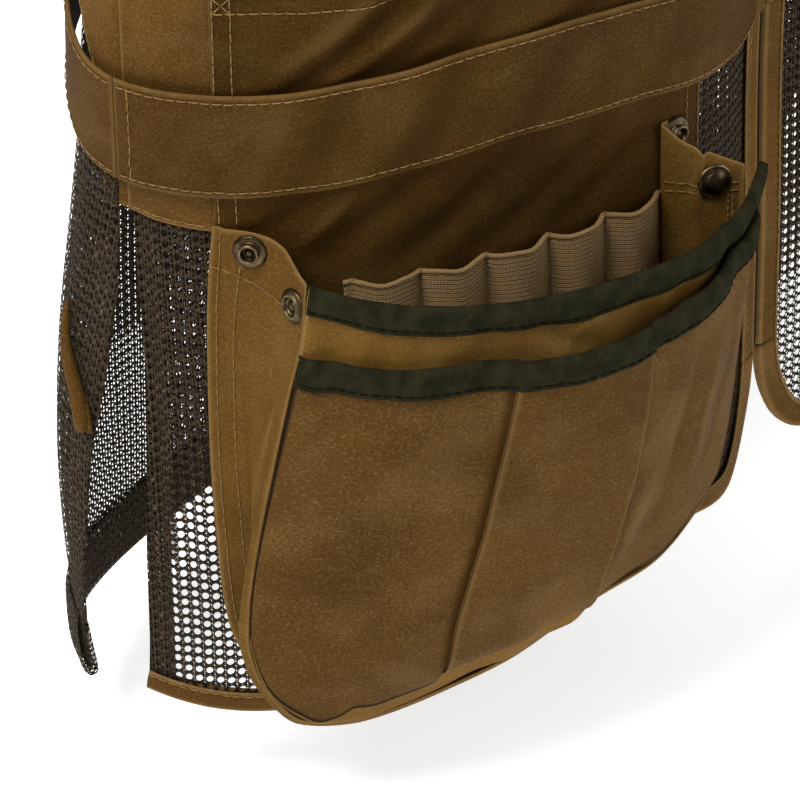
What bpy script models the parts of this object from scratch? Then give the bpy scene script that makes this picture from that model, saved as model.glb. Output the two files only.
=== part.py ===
# Sleeveless shooting vest, filled out as worn, with nobody in it. Metres, +Z up, the front faces -Y,
# the wearer's right is at -X. The origin lies midway between the two shoulders, at the height of the
# shoulder seams' neck ends, because the shoulders carry the vest.
#
# The body is a ring of cloth. A place on it is given by three lengths:
#   arc   how far round the ring, from the centre front towards the wearer's right side
#   rise  how far up the panel, from the hem
#   off   how far out of the body's inner surface
# The left half is the right half mirrored in x.

import math

import bmesh
import bpy
import numpy as np
from mathutils import Vector

# Driving dimensions.
SHOULDER_HEIGHT = 0.666     # hem to the neck end of the shoulder seam
TOP_RISE = 0.735            # length of a panel from hem to shoulder seam
SEAM_GAP = 0.0003           # between pieces that are sewn edge to edge
MESH_THICK = 0.0010
CANVAS_THICK = 0.0014
BINDING_THICK = 0.0011
BELT_THICK = 0.0020
ELASTIC_THICK = 0.0014
CANVAS_OFF = 0.0016         # inner faces of the layers that lie on the mesh
BACKING_OFF = 0.0035
ON_BACKING_OFF = 0.0058
FRONT_EDGE_ARC = 0.0035     # half of the slit that the zip closes
SIDE_SEAM_ARC = 0.3045      # rear edge of the front's canvas
ARMHOLE_RISE = 0.420        # lowest point of the armhole
NECK_RISE = 0.580           # where the front edges part
HEM_CORNER_RISE = 0.0785    # where the front edge starts to curve away
VALLEY_WIDTH = 0.032        # of the hollow along the front edges
SHOULDER_DROP = 0.36        # fall of the shoulder seam, per metre towards the arm
BELT_HEIGHT = 0.0435
BINDING_WIDTH = 0.0105
HEM_BINDING_WIDTH = 0.0080
TAIL_BINDING_WIDTH = 0.0150
SNAP_RADIUS = 0.0066
SNAP_SIDES = 12

# Horizontal sections of the body: one row for each height.
BODY_COLUMNS = ("rise", "height", "half_width", "front_depth", "front_power",
                "valley", "back_depth", "back_power")
BODY = np.array([
    (-0.030, -0.030, 0.266, 0.135, 1.85, 0.014, 0.086, 3.2),
    (0.000, 0.000, 0.266, 0.135, 1.85, 0.014, 0.086, 3.2),
    (0.120, 0.120, 0.260, 0.132, 1.85, 0.014, 0.088, 3.0),
    (0.240, 0.240, 0.247, 0.127, 1.85, 0.014, 0.090, 2.6),
    (0.320, 0.320, 0.247, 0.127, 1.85, 0.012, 0.092, 2.4),
    (0.420, 0.420, 0.243, 0.126, 1.95, 0.008, 0.100, 2.3),
    (0.500, 0.497, 0.235, 0.122, 2.10, 0.004, 0.106, 2.4),
    (0.570, 0.560, 0.222, 0.106, 2.30, 0.000, 0.104, 2.5),
    (0.630, 0.612, 0.208, 0.080, 2.50, 0.000, 0.088, 2.6),
    (0.680, 0.646, 0.196, 0.046, 2.60, 0.000, 0.056, 2.6),
    (0.735, 0.666, 0.186, 0.001, 2.60, 0.000, 0.001, 2.6),
])

# Arcs that every layer of the front shares, so that their facets lie parallel.
FRONT_ARCS = (0.0035, 0.0150, 0.0300, 0.0450, 0.0610, 0.0820, 0.1030, 0.1240, 0.1450, 0.1660,
              0.1870, 0.2080, 0.2290, 0.2490, 0.2680, 0.2800, 0.2925, SIDE_SEAM_ARC)


def ease(x, xs, ys):
    """Smooth curve through a table, with no overshoot."""
    xs = np.asarray(xs, float)
    ys = np.asarray(ys, float)
    x = min(max(float(x), xs[0]), xs[-1])
    slopes = np.diff(ys) / np.diff(xs)
    tangents = np.zeros(len(xs))
    tangents[0] = slopes[0]
    tangents[-1] = slopes[-1]
    for i in range(1, len(xs) - 1):
        before, after = slopes[i - 1], slopes[i]
        if before * after > 0.0:
            tangents[i] = 2.0 * before * after / (before + after)
    i = min(int(np.searchsorted(xs, x, side="right")) - 1, len(xs) - 2)
    width = xs[i + 1] - xs[i]
    t = (x - xs[i]) / width
    return ((2 * t**3 - 3 * t**2 + 1) * ys[i] + (t**3 - 2 * t**2 + t) * width * tangents[i]
            + (3 * t**2 - 2 * t**3) * ys[i + 1] + (t**3 - t**2) * width * tangents[i + 1])


def column(table, names, name):
    return np.array(table)[:, names.index(name)]


def read(table, names, key, value, name):
    """Value of one named column where the key column has the given value."""
    return float(ease(value, column(table, names, key), column(table, names, name)))


RINGS = {}


def body_ring(rise):
    """Half ring from centre front to centre back: arc lengths, points and height."""
    key = round(rise, 6)
    if key not in RINGS:
        size = {name: read(BODY, BODY_COLUMNS, "rise", rise, name) for name in BODY_COLUMNS[1:]}
        turn = np.linspace(math.pi / 2, 0.0, 160)
        front_x = -size["half_width"] * np.cos(turn) ** (2 / size["front_power"])
        front_y = -size["front_depth"] * np.sin(turn) ** (2 / size["front_power"])
        front_y += size["valley"] * np.exp(-(front_x / VALLEY_WIDTH) ** 2)
        turn = np.linspace(0.0, math.pi / 2, 160)[1:]
        back_x = -size["half_width"] * np.cos(turn) ** (2 / size["back_power"])
        back_y = size["back_depth"] * np.sin(turn) ** (2 / size["back_power"])
        points = np.stack([np.r_[front_x, back_x], np.r_[front_y, back_y]], -1)
        steps = np.linalg.norm(np.diff(points, axis=0), axis=1)
        RINGS[key] = (np.r_[0.0, np.cumsum(steps)], points, size["height"])
    return RINGS[key]


def half_girth(rise):
    return float(body_ring(rise)[0][-1])


def body_surface(arc, rise):
    lengths, points, height = body_ring(rise)
    x = float(np.interp(arc, lengths, points[:, 0]))
    y = float(np.interp(arc, lengths, points[:, 1]))
    slope = ease(rise, (0.50, 0.70), (0.0, SHOULDER_DROP))
    return np.array((x, y, height - slope * max(0.0, -x - 0.07) - SHOULDER_HEIGHT))


def body_normal(arc, rise):
    high = min(rise + 0.003, TOP_RISE)
    around = body_surface(arc + 0.003, rise) - body_surface(max(arc - 0.003, 0.0), rise)
    upward = body_surface(arc, high) - body_surface(arc, high - 0.006)
    normal = np.cross(upward, around)
    return normal / np.linalg.norm(normal)


def on_body(arc, rise, off=0.0):
    """Point on the wearer's right half; an arc below zero crosses to the left half."""
    point = body_surface(abs(arc), rise) + body_normal(abs(arc), rise) * off
    if arc < 0.0:
        point[0] = -point[0]
    return point


def on_back(reach, rise, off=0.0):
    """Point at a distance from the centre back, positive towards the wearer's right."""
    point = on_body(half_girth(rise) - abs(reach), rise, off)
    if reach < 0.0:
        point[0] = -point[0]
    return point


# Scene: an empty file, and a collection for the vest.
for leftover in list(bpy.data.objects):
    bpy.data.objects.remove(leftover, do_unlink=True)
VEST = bpy.data.collections.new("shooting_vest")
bpy.context.scene.collection.children.link(VEST)


def material(name, colour, roughness, metallic=0.0):
    made = bpy.data.materials.new(name)
    made.use_nodes = True
    shader = made.node_tree.nodes["Principled BSDF"]
    shader.inputs["Base Color"].default_value = (*colour, 1.0)
    shader.inputs["Roughness"].default_value = roughness
    shader.inputs["Metallic"].default_value = metallic
    return made


CANVAS = material("waxed_canvas", (0.165, 0.095, 0.032), 0.72)
MESH = material("knit_mesh", (0.030, 0.024, 0.019), 0.85)
MOLESKIN = material("moleskin", (0.018, 0.022, 0.014), 0.95)
ELASTIC = material("ribbed_elastic", (0.220, 0.150, 0.085), 0.85)
BRASS = material("aged_brass", (0.160, 0.125, 0.080), 0.42, 0.9)
ZIP = material("zip_tape", (0.030, 0.024, 0.019), 0.80)


def link(name, mesh, cloth):
    mesh.materials.append(cloth)
    mesh.shade_smooth()
    mesh.set_sharp_from_angle(angle=math.radians(40))
    made = bpy.data.objects.new(name, mesh)
    VEST.objects.link(made)
    return made


def sheet(name, rows, cloth, thickness, mirrored=False, closed=False):
    """Cloth through rows of points, thickened outwards. A closed sheet joins its last row to its first."""
    rows = [[Vector(point) for point in row] for row in rows]
    width = len(rows[0])
    points = [point for row in rows for point in row]
    if mirrored:
        points = [Vector((-point.x, point.y, point.z)) for point in points]
    faces = []
    for i in range(len(rows) if closed else len(rows) - 1):
        following = (i + 1) % len(rows)
        for j in range(width - 1):
            face = (i * width + j, i * width + j + 1, following * width + j + 1, following * width + j)
            faces.append(face[::-1] if mirrored else face)
    mesh = bpy.data.meshes.new(name)
    mesh.from_pydata(points, [], faces)
    made = link(name, mesh, cloth)
    thick = made.modifiers.new("cloth", "SOLIDIFY")
    thick.thickness = thickness
    thick.offset = 1.0
    thick.use_even_offset = True
    return made


def binding(name, stations, cloth, width, outer, inner, mirrored=False, closed=False):
    """Tape folded round an edge. A station gives a chart, a place on it and the way in from the edge;
    outer and inner say how far out the facing sides of the tape's two legs lie."""
    clear = SEAM_GAP + 0.0003
    fold, top, bottom = -clear - BINDING_THICK, outer + BINDING_THICK, inner - BINDING_THICK
    profile = ((width, outer), (width, top), (fold, top), (fold, bottom), (width, bottom), (width, inner),
               (-clear, inner), (-clear, outer))
    count = len(profile)
    shape = bmesh.new()
    loops = []
    for chart, u, v, du, dv in stations:
        loop = []
        for inset, off in profile:
            point = chart(u + inset * du, v + inset * dv, off)
            loop.append(shape.verts.new((-point[0] if mirrored else point[0], point[1], point[2])))
        loops.append(loop)
    for first, second in zip(loops, loops[1:] + loops[:1] if closed else loops[1:]):
        for k in range(count):
            shape.faces.new((first[k], first[(k + 1) % count], second[(k + 1) % count], second[k]))
    if not closed:
        for loop in (loops[0], loops[-1]):
            for cap in ((0, 1, 2, 7), (7, 2, 3, 6), (6, 3, 4, 5)):
                shape.faces.new([loop[k] for k in cap])
    bmesh.ops.recalc_face_normals(shape, faces=shape.faces)
    mesh = bpy.data.meshes.new(name)
    shape.to_mesh(mesh)
    shape.free()
    return link(name, mesh, cloth)


def chart_path(chart, places, side=1.0):
    """Stations along places on one chart; the cloth lies to the right of the path, or to the left."""
    stations = []
    for i, (u, v) in enumerate(places):
        before, after = places[max(i - 1, 0)], places[min(i + 1, len(places) - 1)]
        along = np.array((after[0] - before[0], after[1] - before[1]))
        along /= np.linalg.norm(along)
        stations.append((chart, u, v, along[1] * side, -along[0] * side))
    return stations


SIDES = (("r", False), ("l", True))

# Front mesh: the lower part of each front, open-knit. Its hem curves up to the front edge, and its
# rear edge hangs free as the front side of the vent. It runs up behind the belt.
HEM_COLUMNS = ("arc", "rise")
FRONT_HEM = ((0.0035, 0.0785), (0.0065, 0.0475), (0.0138, 0.0349), (0.0226, 0.0255), (0.0300, 0.0235),
             (0.0450, 0.0255), (0.0610, 0.0300), (0.0820, 0.0320), (0.1030, 0.0290), (0.1240, 0.0220),
             (0.1660, 0.0110), (0.2080, 0.0040), (0.2490, 0.0020), (0.2800, 0.0030), (0.3120, 0.0080))
MESH_ARCS = (0.0035, 0.0065, 0.0138, 0.0226) + FRONT_ARCS[2:-1]
MESH_PARTS = (0.0, 0.33, 0.67)      # shares of the way from the hem to the first of the upper rows
MESH_HIGH_ROWS = (0.214, 0.238, 0.262)
VENT_COLUMNS = ("rise", "arc")
VENT = ((0.000, 0.3120), (0.120, 0.3080), (0.200, 0.3062), (0.262, 0.3060))


def front_hem(arc):
    return float(np.interp(arc, column(FRONT_HEM, HEM_COLUMNS, "arc"),
                           column(FRONT_HEM, HEM_COLUMNS, "rise")))


def vent_arc(rise):
    return float(np.interp(rise, column(VENT, VENT_COLUMNS, "rise"), column(VENT, VENT_COLUMNS, "arc")))


def mesh_rises(low):
    return [low + part * (MESH_HIGH_ROWS[0] - low) for part in MESH_PARTS] + list(MESH_HIGH_ROWS)


for side, mirrored in SIDES:
    rows = [[on_body(arc, rise) for rise in mesh_rises(front_hem(arc))] for arc in MESH_ARCS]
    for share in (0.5, 1.0):
        rows.append([on_body(MESH_ARCS[-1] + share * (vent_arc(rise) - MESH_ARCS[-1]), rise)
                     for rise in mesh_rises(front_hem(VENT[0][1]))])
    sheet(f"front_mesh_{side}", rows, MESH, MESH_THICK, mirrored)

# Front canvas: everything above the belt, up to the shoulder seam, with the armhole and half of
# the neck cut out of it. Its hem shows below the belt beside the pocket.
FRONT_CUT_COLUMNS = ("rise", "neck", "arm")
FRONT_CUT = ((0.000, 0.0035, 0.3045), (0.420, 0.0035, 0.3045), (0.445, 0.0035, 0.2800),
             (0.470, 0.0035, 0.2380), (0.500, 0.0035, 0.2050), (0.540, 0.0035, 0.1830),
             (0.580, 0.0035, 0.1730), (0.610, 0.0120, 0.1690), (0.640, 0.0280, 0.1680),
             (0.680, 0.0550, 0.1720), (0.710, 0.0680, 0.1760), (0.735, 0.0740, 0.1780))
CANVAS_HEM_COLUMNS = ("arc", "rise")
CANVAS_HEM = ((0.0035, 0.2480), (0.0820, 0.2480), (0.1450, 0.2380), (0.2080, 0.2250),
              (0.2680, 0.2184), (0.3045, 0.2197))
UPPER_RISES = (0.262, 0.320, 0.370, 0.420, 0.445, 0.470, 0.500, 0.540, 0.580, 0.610, 0.640,
               0.680, 0.710, 0.7345)


def front_cut(rise, name):
    return float(np.interp(rise, column(FRONT_CUT, FRONT_CUT_COLUMNS, "rise"),
                           column(FRONT_CUT, FRONT_CUT_COLUMNS, name)))


for side, mirrored in SIDES:
    rows = []
    for arc in FRONT_ARCS:
        share = (arc - FRONT_EDGE_ARC) / (SIDE_SEAM_ARC - FRONT_EDGE_ARC)
        low = float(np.interp(arc, column(CANVAS_HEM, CANVAS_HEM_COLUMNS, "arc"),
                              column(CANVAS_HEM, CANVAS_HEM_COLUMNS, "rise")))
        points = [on_body(arc, rise, CANVAS_OFF) for rise in (low, 0.5 * (low + UPPER_RISES[0]))]
        for rise in UPPER_RISES:
            neck, arm = front_cut(rise, "neck"), front_cut(rise, "arm")
            points.append(on_body(neck + share * (arm - neck), rise, CANVAS_OFF))
        rows.append(points)
    sheet(f"front_canvas_{side}", rows, CANVAS, CANVAS_THICK, mirrored)

# Side panel: a narrow canvas piece behind the front's side seam, with a rounded lower corner. Its
# rear edge is folded and free.
SIDE_PANEL_COLUMNS = ("rise", "rear_arc")
SIDE_PANEL = ((0.2205, 0.3150), (0.2260, 0.3175), (0.2700, 0.3185), (0.3050, 0.3340),
              (0.3400, 0.3400), (0.3800, 0.3340), (0.4100, 0.3180), (0.4180, 0.3110))

for side, mirrored in SIDES:
    rows = []
    for share in (0.0, 0.4, 0.75, 1.0):
        rows.append([on_body(SIDE_SEAM_ARC + SEAM_GAP + share * (rear - SIDE_SEAM_ARC - SEAM_GAP),
                             rise, CANVAS_OFF + 0.0006) for rise, rear in SIDE_PANEL])
    sheet(f"side_panel_{side}", rows, CANVAS, CANVAS_THICK, mirrored)

# Back: one mesh panel from hem to shoulders. Its sides swing away from the fronts below the vent's
# top, and the armholes and the neck are cut out of it.
BACK_CUT_COLUMNS = ("rise", "side_arc")
BACK_VENT = ((0.000, 0.3520), (0.050, 0.3500), (0.110, 0.3440), (0.150, 0.3330), (0.180, 0.3200),
             (0.205, 0.3078), (0.420, 0.3078))
BACK_ARM_COLUMNS = ("rise", "reach")
BACK_ARM = ((0.445, 0.2400), (0.470, 0.2080), (0.500, 0.1900), (0.540, 0.1790), (0.580, 0.1730),
            (0.630, 0.1710), (0.680, 0.1730), (0.735, 0.1780))
BACK_NECK_COLUMNS = ("share", "rise")
BACK_NECK = ((0.00, 0.6980), (0.16, 0.7010), (0.30, 0.7140), (0.415, 0.7345), (1.00, 0.7345))
BACK_SHARES = (0.0, 0.16, 0.30, 0.415, 0.52, 0.64, 0.75, 0.85, 0.93, 1.0)
BACK_RISES = (0.0, 0.050, 0.110, 0.150, 0.180, 0.205, 0.262, 0.340, 0.420, 0.432, 0.445, 0.457,
              0.470, 0.500, 0.540, 0.600)
BACK_TOP_PARTS = (0.30, 0.56, 0.78, 1.0)
TAIL_DROP = 0.014           # of the hem's middle below its corners


def back_reach(rise):
    if rise <= ARMHOLE_RISE:
        arc = float(np.interp(rise, column(BACK_VENT, BACK_CUT_COLUMNS, "rise"),
                              column(BACK_VENT, BACK_CUT_COLUMNS, "side_arc")))
        return half_girth(rise) - arc
    lowest = half_girth(ARMHOLE_RISE) - BACK_VENT[-1][1]
    rises = np.r_[ARMHOLE_RISE, column(BACK_ARM, BACK_ARM_COLUMNS, "rise")]
    return float(np.interp(rise, rises, np.r_[lowest, column(BACK_ARM, BACK_ARM_COLUMNS, "reach")]))


def back_top(share):
    return float(np.interp(abs(share), column(BACK_NECK, BACK_NECK_COLUMNS, "share"),
                           column(BACK_NECK, BACK_NECK_COLUMNS, "rise")))


def back_high_rises(share):
    return [BACK_RISES[-1] + part * (back_top(share) - BACK_RISES[-1]) for part in BACK_TOP_PARTS]


def tail_rise(share):
    return -TAIL_DROP * (1.0 - share * share)


rows = []
for share in BACK_SHARES:
    rises = [tail_rise(share)] + list(BACK_RISES[1:]) + back_high_rises(share)
    rows.append([on_back(-share * back_reach(rise), rise) for rise in rises])
for point in rows[0]:
    point[0] = 0.0
back = sheet("back_mesh", rows, MESH, MESH_THICK)
halves = back.modifiers.new("halves", "MIRROR")
halves.merge_threshold = 0.0001
back.modifiers.move(1, 0)

# Front-edge bindings: folded canvas tape up each front edge. Above the belt it holds the canvas too.
EDGE_RISES = (0.2420, 0.262, 0.320, 0.370, 0.420, 0.445, 0.470, 0.500, 0.540, NECK_RISE)

for side, mirrored in SIDES:
    for name, rises, outer in (("low", (0.0795, 0.115, 0.155, 0.195, 0.2417), 0.0016),
                               ("high", EDGE_RISES, 0.0036)):
        path = chart_path(on_body, [(FRONT_EDGE_ARC, rise) for rise in rises])
        binding(f"front_edge_{name}_{side}", path, CANVAS, BINDING_WIDTH, outer, -0.0006, mirrored)

# Zip: the closed front zip, seen as a dark line between the bindings.
rows = []
for rise in (0.0795, 0.130, 0.180, 0.2410) + EDGE_RISES[1:]:
    rows.append([on_body(arc, rise, -0.0006) for arc in (-0.0014, 0.0014)])
sheet("front_zip", rows[::-1], ZIP, 0.0026)

# Hem bindings: one tape from each vent round the front's hem and up its curved corner, and a wider
# one along the back's hem.
for side, mirrored in SIDES:
    arcs = (0.3116, 0.3020) + MESH_ARCS[:0:-1]
    places = [(arc, front_hem(arc)) for arc in arcs] + [(FRONT_EDGE_ARC, HEM_CORNER_RISE)]
    binding(f"hem_binding_{side}", chart_path(on_body, places), CANVAS, HEM_BINDING_WIDTH,
            0.0017, -0.0007, mirrored)

spread = tuple(-share for share in BACK_SHARES[:0:-1]) + BACK_SHARES
places = [(-share * (back_reach(0.0) - 0.0004), tail_rise(share)) for share in spread]
binding("back_hem_binding", chart_path(on_back, places), CANVAS, TAIL_BINDING_WIDTH, 0.0017, -0.0007)

# Armhole bindings: a closed tape round each armhole, over the shoulder seam.
for side, mirrored in SIDES:
    front = [(front_cut(rise, "arm"), rise) for rise in UPPER_RISES[:2:-1]]
    back = [(back_reach(rise), rise) for rise in BACK_RISES[8:] + tuple(back_high_rises(1.0))]
    path = chart_path(on_body, front)
    path[-1] = (on_body, *front[-1], 0.0, -1.0)
    path += [(on_back, back[0][0] - 0.0002, back[0][1], 0.0, -1.0)] + chart_path(on_back, back, -1.0)[1:]
    binding(f"armhole_binding_{side}", path, CANVAS, BINDING_WIDTH, 0.0049, -0.0012, mirrored, closed=True)

# Neck binding: one tape from the top of one front edge, round the back of the neck, to the other.
neck = [(front_cut(rise, "neck"), rise) for rise in (0.5806, 0.610, 0.640, 0.680, 0.710, 0.7345)]
nape = [(share * back_reach(back_top(share)), back_top(share)) for share in (0.415, 0.30, 0.16, 0.0)]
right_half = chart_path(on_body, neck) + chart_path(on_back, nape, -1.0)
right_half[0] = (on_body, *neck[0], 1.0, 0.0)
right_half[-1] = (on_back, *nape[-1], 0.0, -1.0)
left_half = [(chart, -u, v, -du, dv) for chart, u, v, du, dv in right_half[-2::-1]]
binding("neck_binding", right_half + left_half, CANVAS, BINDING_WIDTH, 0.0042, -0.0012)

# Pocket backing: a canvas panel stitched on each front, from the hem to above the belt.
BACKING_COLUMNS = ("arc", "low", "high")
BACKING = ((0.0610, 0.0800, 0.3400), (0.0730, 0.0500, 0.3380), (0.0820, 0.0410, 0.3360),
           (0.1030, 0.0330, 0.3320), (0.1240, 0.0280, 0.3280), (0.1450, 0.0240, 0.3240),
           (0.1660, 0.0205, 0.3220), (0.1870, 0.0160, 0.3210), (0.2080, 0.0120, 0.3205),
           (0.2290, 0.0090, 0.3200), (0.2490, 0.0120, 0.3200), (0.2600, 0.0240, 0.3200),
           (0.2680, 0.0500, 0.3200))

for side, mirrored in SIDES:
    rows = []
    for arc, low, high in BACKING:
        rises = [low + share * (0.240 - low) for share in (0.0, 0.33, 0.67, 1.0)]
        rows.append([on_body(arc, rise, BACKING_OFF) for rise in rises + [0.280, high]])
    sheet(f"pocket_back_{side}", rows, CANVAS, CANVAS_THICK, mirrored)

# Belt: a canvas band round the whole vest. It lies on the fronts, is seamed at each side, and stands
# clear of the body round the sides and back.
BELT_COLUMNS = ("arc", "low", "off")
BELT = ((0.0150, 0.2425, 0.0037), (0.0300, 0.2405, 0.0042), (0.0450, 0.2395, 0.0052),
        (0.0610, 0.2388, 0.0058), (0.1100, 0.2435, 0.0058), (0.1560, 0.2445, 0.0058),
        (0.2000, 0.2405, 0.0058), (0.2500, 0.2365, 0.0058), (0.2925, 0.2350, 0.0060),
        (0.3045, 0.2345, 0.0060), (0.3150, 0.2352, 0.0056), (0.3250, 0.2380, 0.0052),
        (0.3350, 0.2440, 0.0048), (0.3500, 0.2550, 0.0042), (0.3700, 0.2640, 0.0038),
        (0.4100, 0.2710, 0.0034), (0.4600, 0.2750, 0.0032), (0.6000, 0.2780, 0.0032))


def belt_point(arc, part, off=0.0):
    low = read(BELT, BELT_COLUMNS, "arc", abs(arc), "low")
    return on_body(arc, low + part * BELT_HEIGHT, read(BELT, BELT_COLUMNS, "arc", abs(arc), "off") + off)


for side, mirrored in SIDES:
    rows = [[belt_point(arc, part) for part in (0.0, 0.5, 1.0)] for arc in FRONT_ARCS[1:]]
    sheet(f"belt_front_{side}", rows, CANVAS, BELT_THICK, mirrored)

rear = (0.3048, 0.3120, 0.3190, 0.3260, 0.3340, 0.3430, 0.3530, 0.3660, 0.3840, 0.4060, 0.4300, 0.4580,
        0.4880, 0.5180, 0.5480)
rows = [[belt_point(arc, part) for part in (0.0, 0.5, 1.0)] for arc in rear]
crossing = half_girth(0.30)
rows.append([belt_point(crossing, part) * np.array((0.0, 1.0, 1.0)) for part in (0.0, 0.5, 1.0)])
rows += [[belt_point(-arc, part) for part in (0.0, 0.5, 1.0)] for arc in rear[::-1]]
sheet("belt_back", rows, CANVAS, BELT_THICK)

# Pocket gusset: the bellows round the sides and bottom of each pocket. It starts on the backing and
# ends at the pocket front's seam. Its two top corners are the hemmed ears that carry the snaps.
GUSSET_COLUMNS = ("arc_in", "rise_in", "arc_out", "rise_out", "off_out", "flat", "fold")
GUSSET = np.array((
    (0.2650, 0.2225, 0.2385, 0.2085, 0.0257, 1.0, 0.0000),
    (0.2650, 0.2010, 0.2410, 0.1890, 0.0258, 1.0, 0.0000),
    (0.2650, 0.1700, 0.2470, 0.1660, 0.0263, 1.0, 0.0000),
    (0.2650, 0.1145, 0.2588, 0.1145, 0.0228, 0.8, 0.0000),
    (0.2642, 0.0650, 0.2670, 0.0650, 0.0208, 0.3, 0.0000),
    (0.2632, 0.0500, 0.2680, 0.0500, 0.0208, 0.0, 0.0000),
    (0.2600, 0.0390, 0.2660, 0.0350, 0.0208, 0.0, 0.0000),
    (0.2540, 0.0290, 0.2605, 0.0226, 0.0209, 0.0, 0.0000),
    (0.2450, 0.0215, 0.2508, 0.0110, 0.0210, 0.0, 0.0000),
    (0.2290, 0.0185, 0.2325, 0.0085, 0.0213, 0.0, 0.0000),
    (0.1930, 0.0240, 0.1930, 0.0140, 0.0218, 0.0, 0.0000),
    (0.1720, 0.0275, 0.1720, 0.0190, 0.0220, 0.0, 0.0000),
    (0.1310, 0.0335, 0.1310, 0.0252, 0.0226, 0.0, 0.0000),
    (0.1070, 0.0390, 0.1050, 0.0305, 0.0229, 0.0, 0.0000),
    (0.0955, 0.0480, 0.0870, 0.0405, 0.0231, 0.0, 0.0000),
    (0.0880, 0.0640, 0.0745, 0.0585, 0.0233, 0.0, 0.0005),
    (0.0850, 0.0900, 0.0695, 0.0900, 0.0252, 0.0, 0.0010),
    (0.0840, 0.1300, 0.0655, 0.1300, 0.0267, 0.0, 0.0020),
    (0.0836, 0.1700, 0.0625, 0.1660, 0.0274, 0.0, 0.0030),
    (0.0836, 0.2010, 0.0605, 0.1850, 0.0260, 0.0, 0.0035),
    (0.0836, 0.2220, 0.0600, 0.2060, 0.0255, 0.0, 0.0035),
))
GUSSET_SHARES = (0.0, 0.05, 0.41, 0.60, 0.96, 1.0)
GUSSET_START = 0.0067
EAR_LIFT = 0.0026


def gusset_point(station, share):
    """Place on the gusset: station counts rows of the table, share runs from backing to front."""
    row = {name: float(np.interp(station, range(len(GUSSET)), column(GUSSET, GUSSET_COLUMNS, name)))
           for name in GUSSET_COLUMNS}
    sideways = 1.0 - (1.0 - share) ** (1.0 + 0.6 * row["flat"])
    outwards = share ** (1.0 + 1.2 * row["flat"])
    fold = row["fold"] * max(0.0, 1.0 - abs(share - 0.41) / 0.41)
    lift = EAR_LIFT * math.sin(math.pi * share) * max(0.0, 1.0 - station)
    return on_body(row["arc_in"] + sideways * (row["arc_out"] - row["arc_in"]),
                   row["rise_in"] + share * (row["rise_out"] - row["rise_in"]) + lift,
                   GUSSET_START + outwards * (row["off_out"] - GUSSET_START) + fold)


for side, mirrored in SIDES:
    rows = [[gusset_point(station, share) for share in GUSSET_SHARES] for station in range(len(GUSSET))]
    gusset = sheet(f"pocket_gusset_{side}", rows, CANVAS, 0.0011, mirrored)
    gusset.modifiers["cloth"].offset = 0.0

# Pocket front: the main pocket's outer wall. It hangs in a belly from seam to seam. A place on it is
# a share of its width, from the inner seam to the outer one, and a rise.
GUSSET_MARGIN = 0.0010
POCKET_SIDE_COLUMNS = ("rise", "arc", "off")
POCKET_OUTER_SEAM = ((0.0500, 0.2680, 0.0205), (0.0650, 0.2670, 0.0205), (0.1145, 0.2588, 0.0225),
                     (0.1660, 0.2470, 0.0260), (0.1830, 0.2425, 0.0270), (0.2085, 0.2380, 0.0280))
POCKET_INNER_SEAM = ((0.0580, 0.0740, 0.0230), (0.0900, 0.0690, 0.0250), (0.1300, 0.0650, 0.0265),
                     (0.1700, 0.0610, 0.0275), (0.1900, 0.0575, 0.0280), (0.2045, 0.0525, 0.0280))
POCKET_EDGE_COLUMNS = ("share", "low", "high")
POCKET_EDGES = ((0.000, 0.0560, 0.2045), (0.030, 0.0470, 0.2036), (0.067, 0.0395, 0.2028),
                (0.160, 0.0297, 0.2025), (0.294, 0.0247, 0.2026), (0.505, 0.0187, 0.2032),
                (0.613, 0.0136, 0.2042), (0.817, 0.0080, 0.2056), (0.911, 0.0105, 0.2068),
                (0.961, 0.0222, 0.2078), (0.990, 0.0350, 0.2084), (1.000, 0.0490, 0.2085))
BELLY_COLUMNS = ("above_bottom", "depth")
BELLY = ((0.000, 0.000), (0.010, 0.006), (0.030, 0.015), (0.060, 0.0215), (0.100, 0.0255), (0.140, 0.0260),
         (0.180, 0.0245), (0.210, 0.0240))
CREASES = (0.358, 0.642)     # shares of the width where the patch is folded
CREASE_WIDTH = 0.012
PLEAT_DEPTH = 0.0022
PATCH_INSET = 0.030         # share of the width by which the patch's mouth stops short of the inner seam
POCKET_SHARES = (0.000, 0.030, 0.067, 0.110, 0.170, 0.260, 0.352, 0.364, 0.440, 0.530, 0.636, 0.648,
                 0.730, 0.817, 0.911, 0.961, 0.990, 1.000)
POCKET_ROWS = (0.0, 0.07, 0.18, 0.36, 0.58, 0.80, 1.0)
PATCH_TOP_COLUMNS = ("share", "rise")
PATCH_TOP = ((0.00, 0.1900), (0.10, 0.1850), (0.25, 0.1800), (0.50, 0.1780), (1.00, 0.1780))


def pocket_edge(share, name):
    return read(POCKET_EDGES, POCKET_EDGE_COLUMNS, "share", share, name)


def pocket_front(share, rise, off=0.0):
    inner_arc, outer_arc = (read(seam, POCKET_SIDE_COLUMNS, "rise", rise, "arc")
                            for seam in (POCKET_INNER_SEAM, POCKET_OUTER_SEAM))
    inner_off, outer_off = (read(seam, POCKET_SIDE_COLUMNS, "rise", rise, "off")
                            for seam in (POCKET_INNER_SEAM, POCKET_OUTER_SEAM))
    belly = read(BELLY, BELLY_COLUMNS, "above_bottom", rise - pocket_edge(share, "low"), "depth")
    spread = 1.0 - abs(2.0 * share - 1.0) ** 2.6
    out = inner_off + share * (outer_off - inner_off) + GUSSET_MARGIN + belly * spread + off
    return on_body(inner_arc + share * (outer_arc - inner_arc), rise, out)


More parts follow.
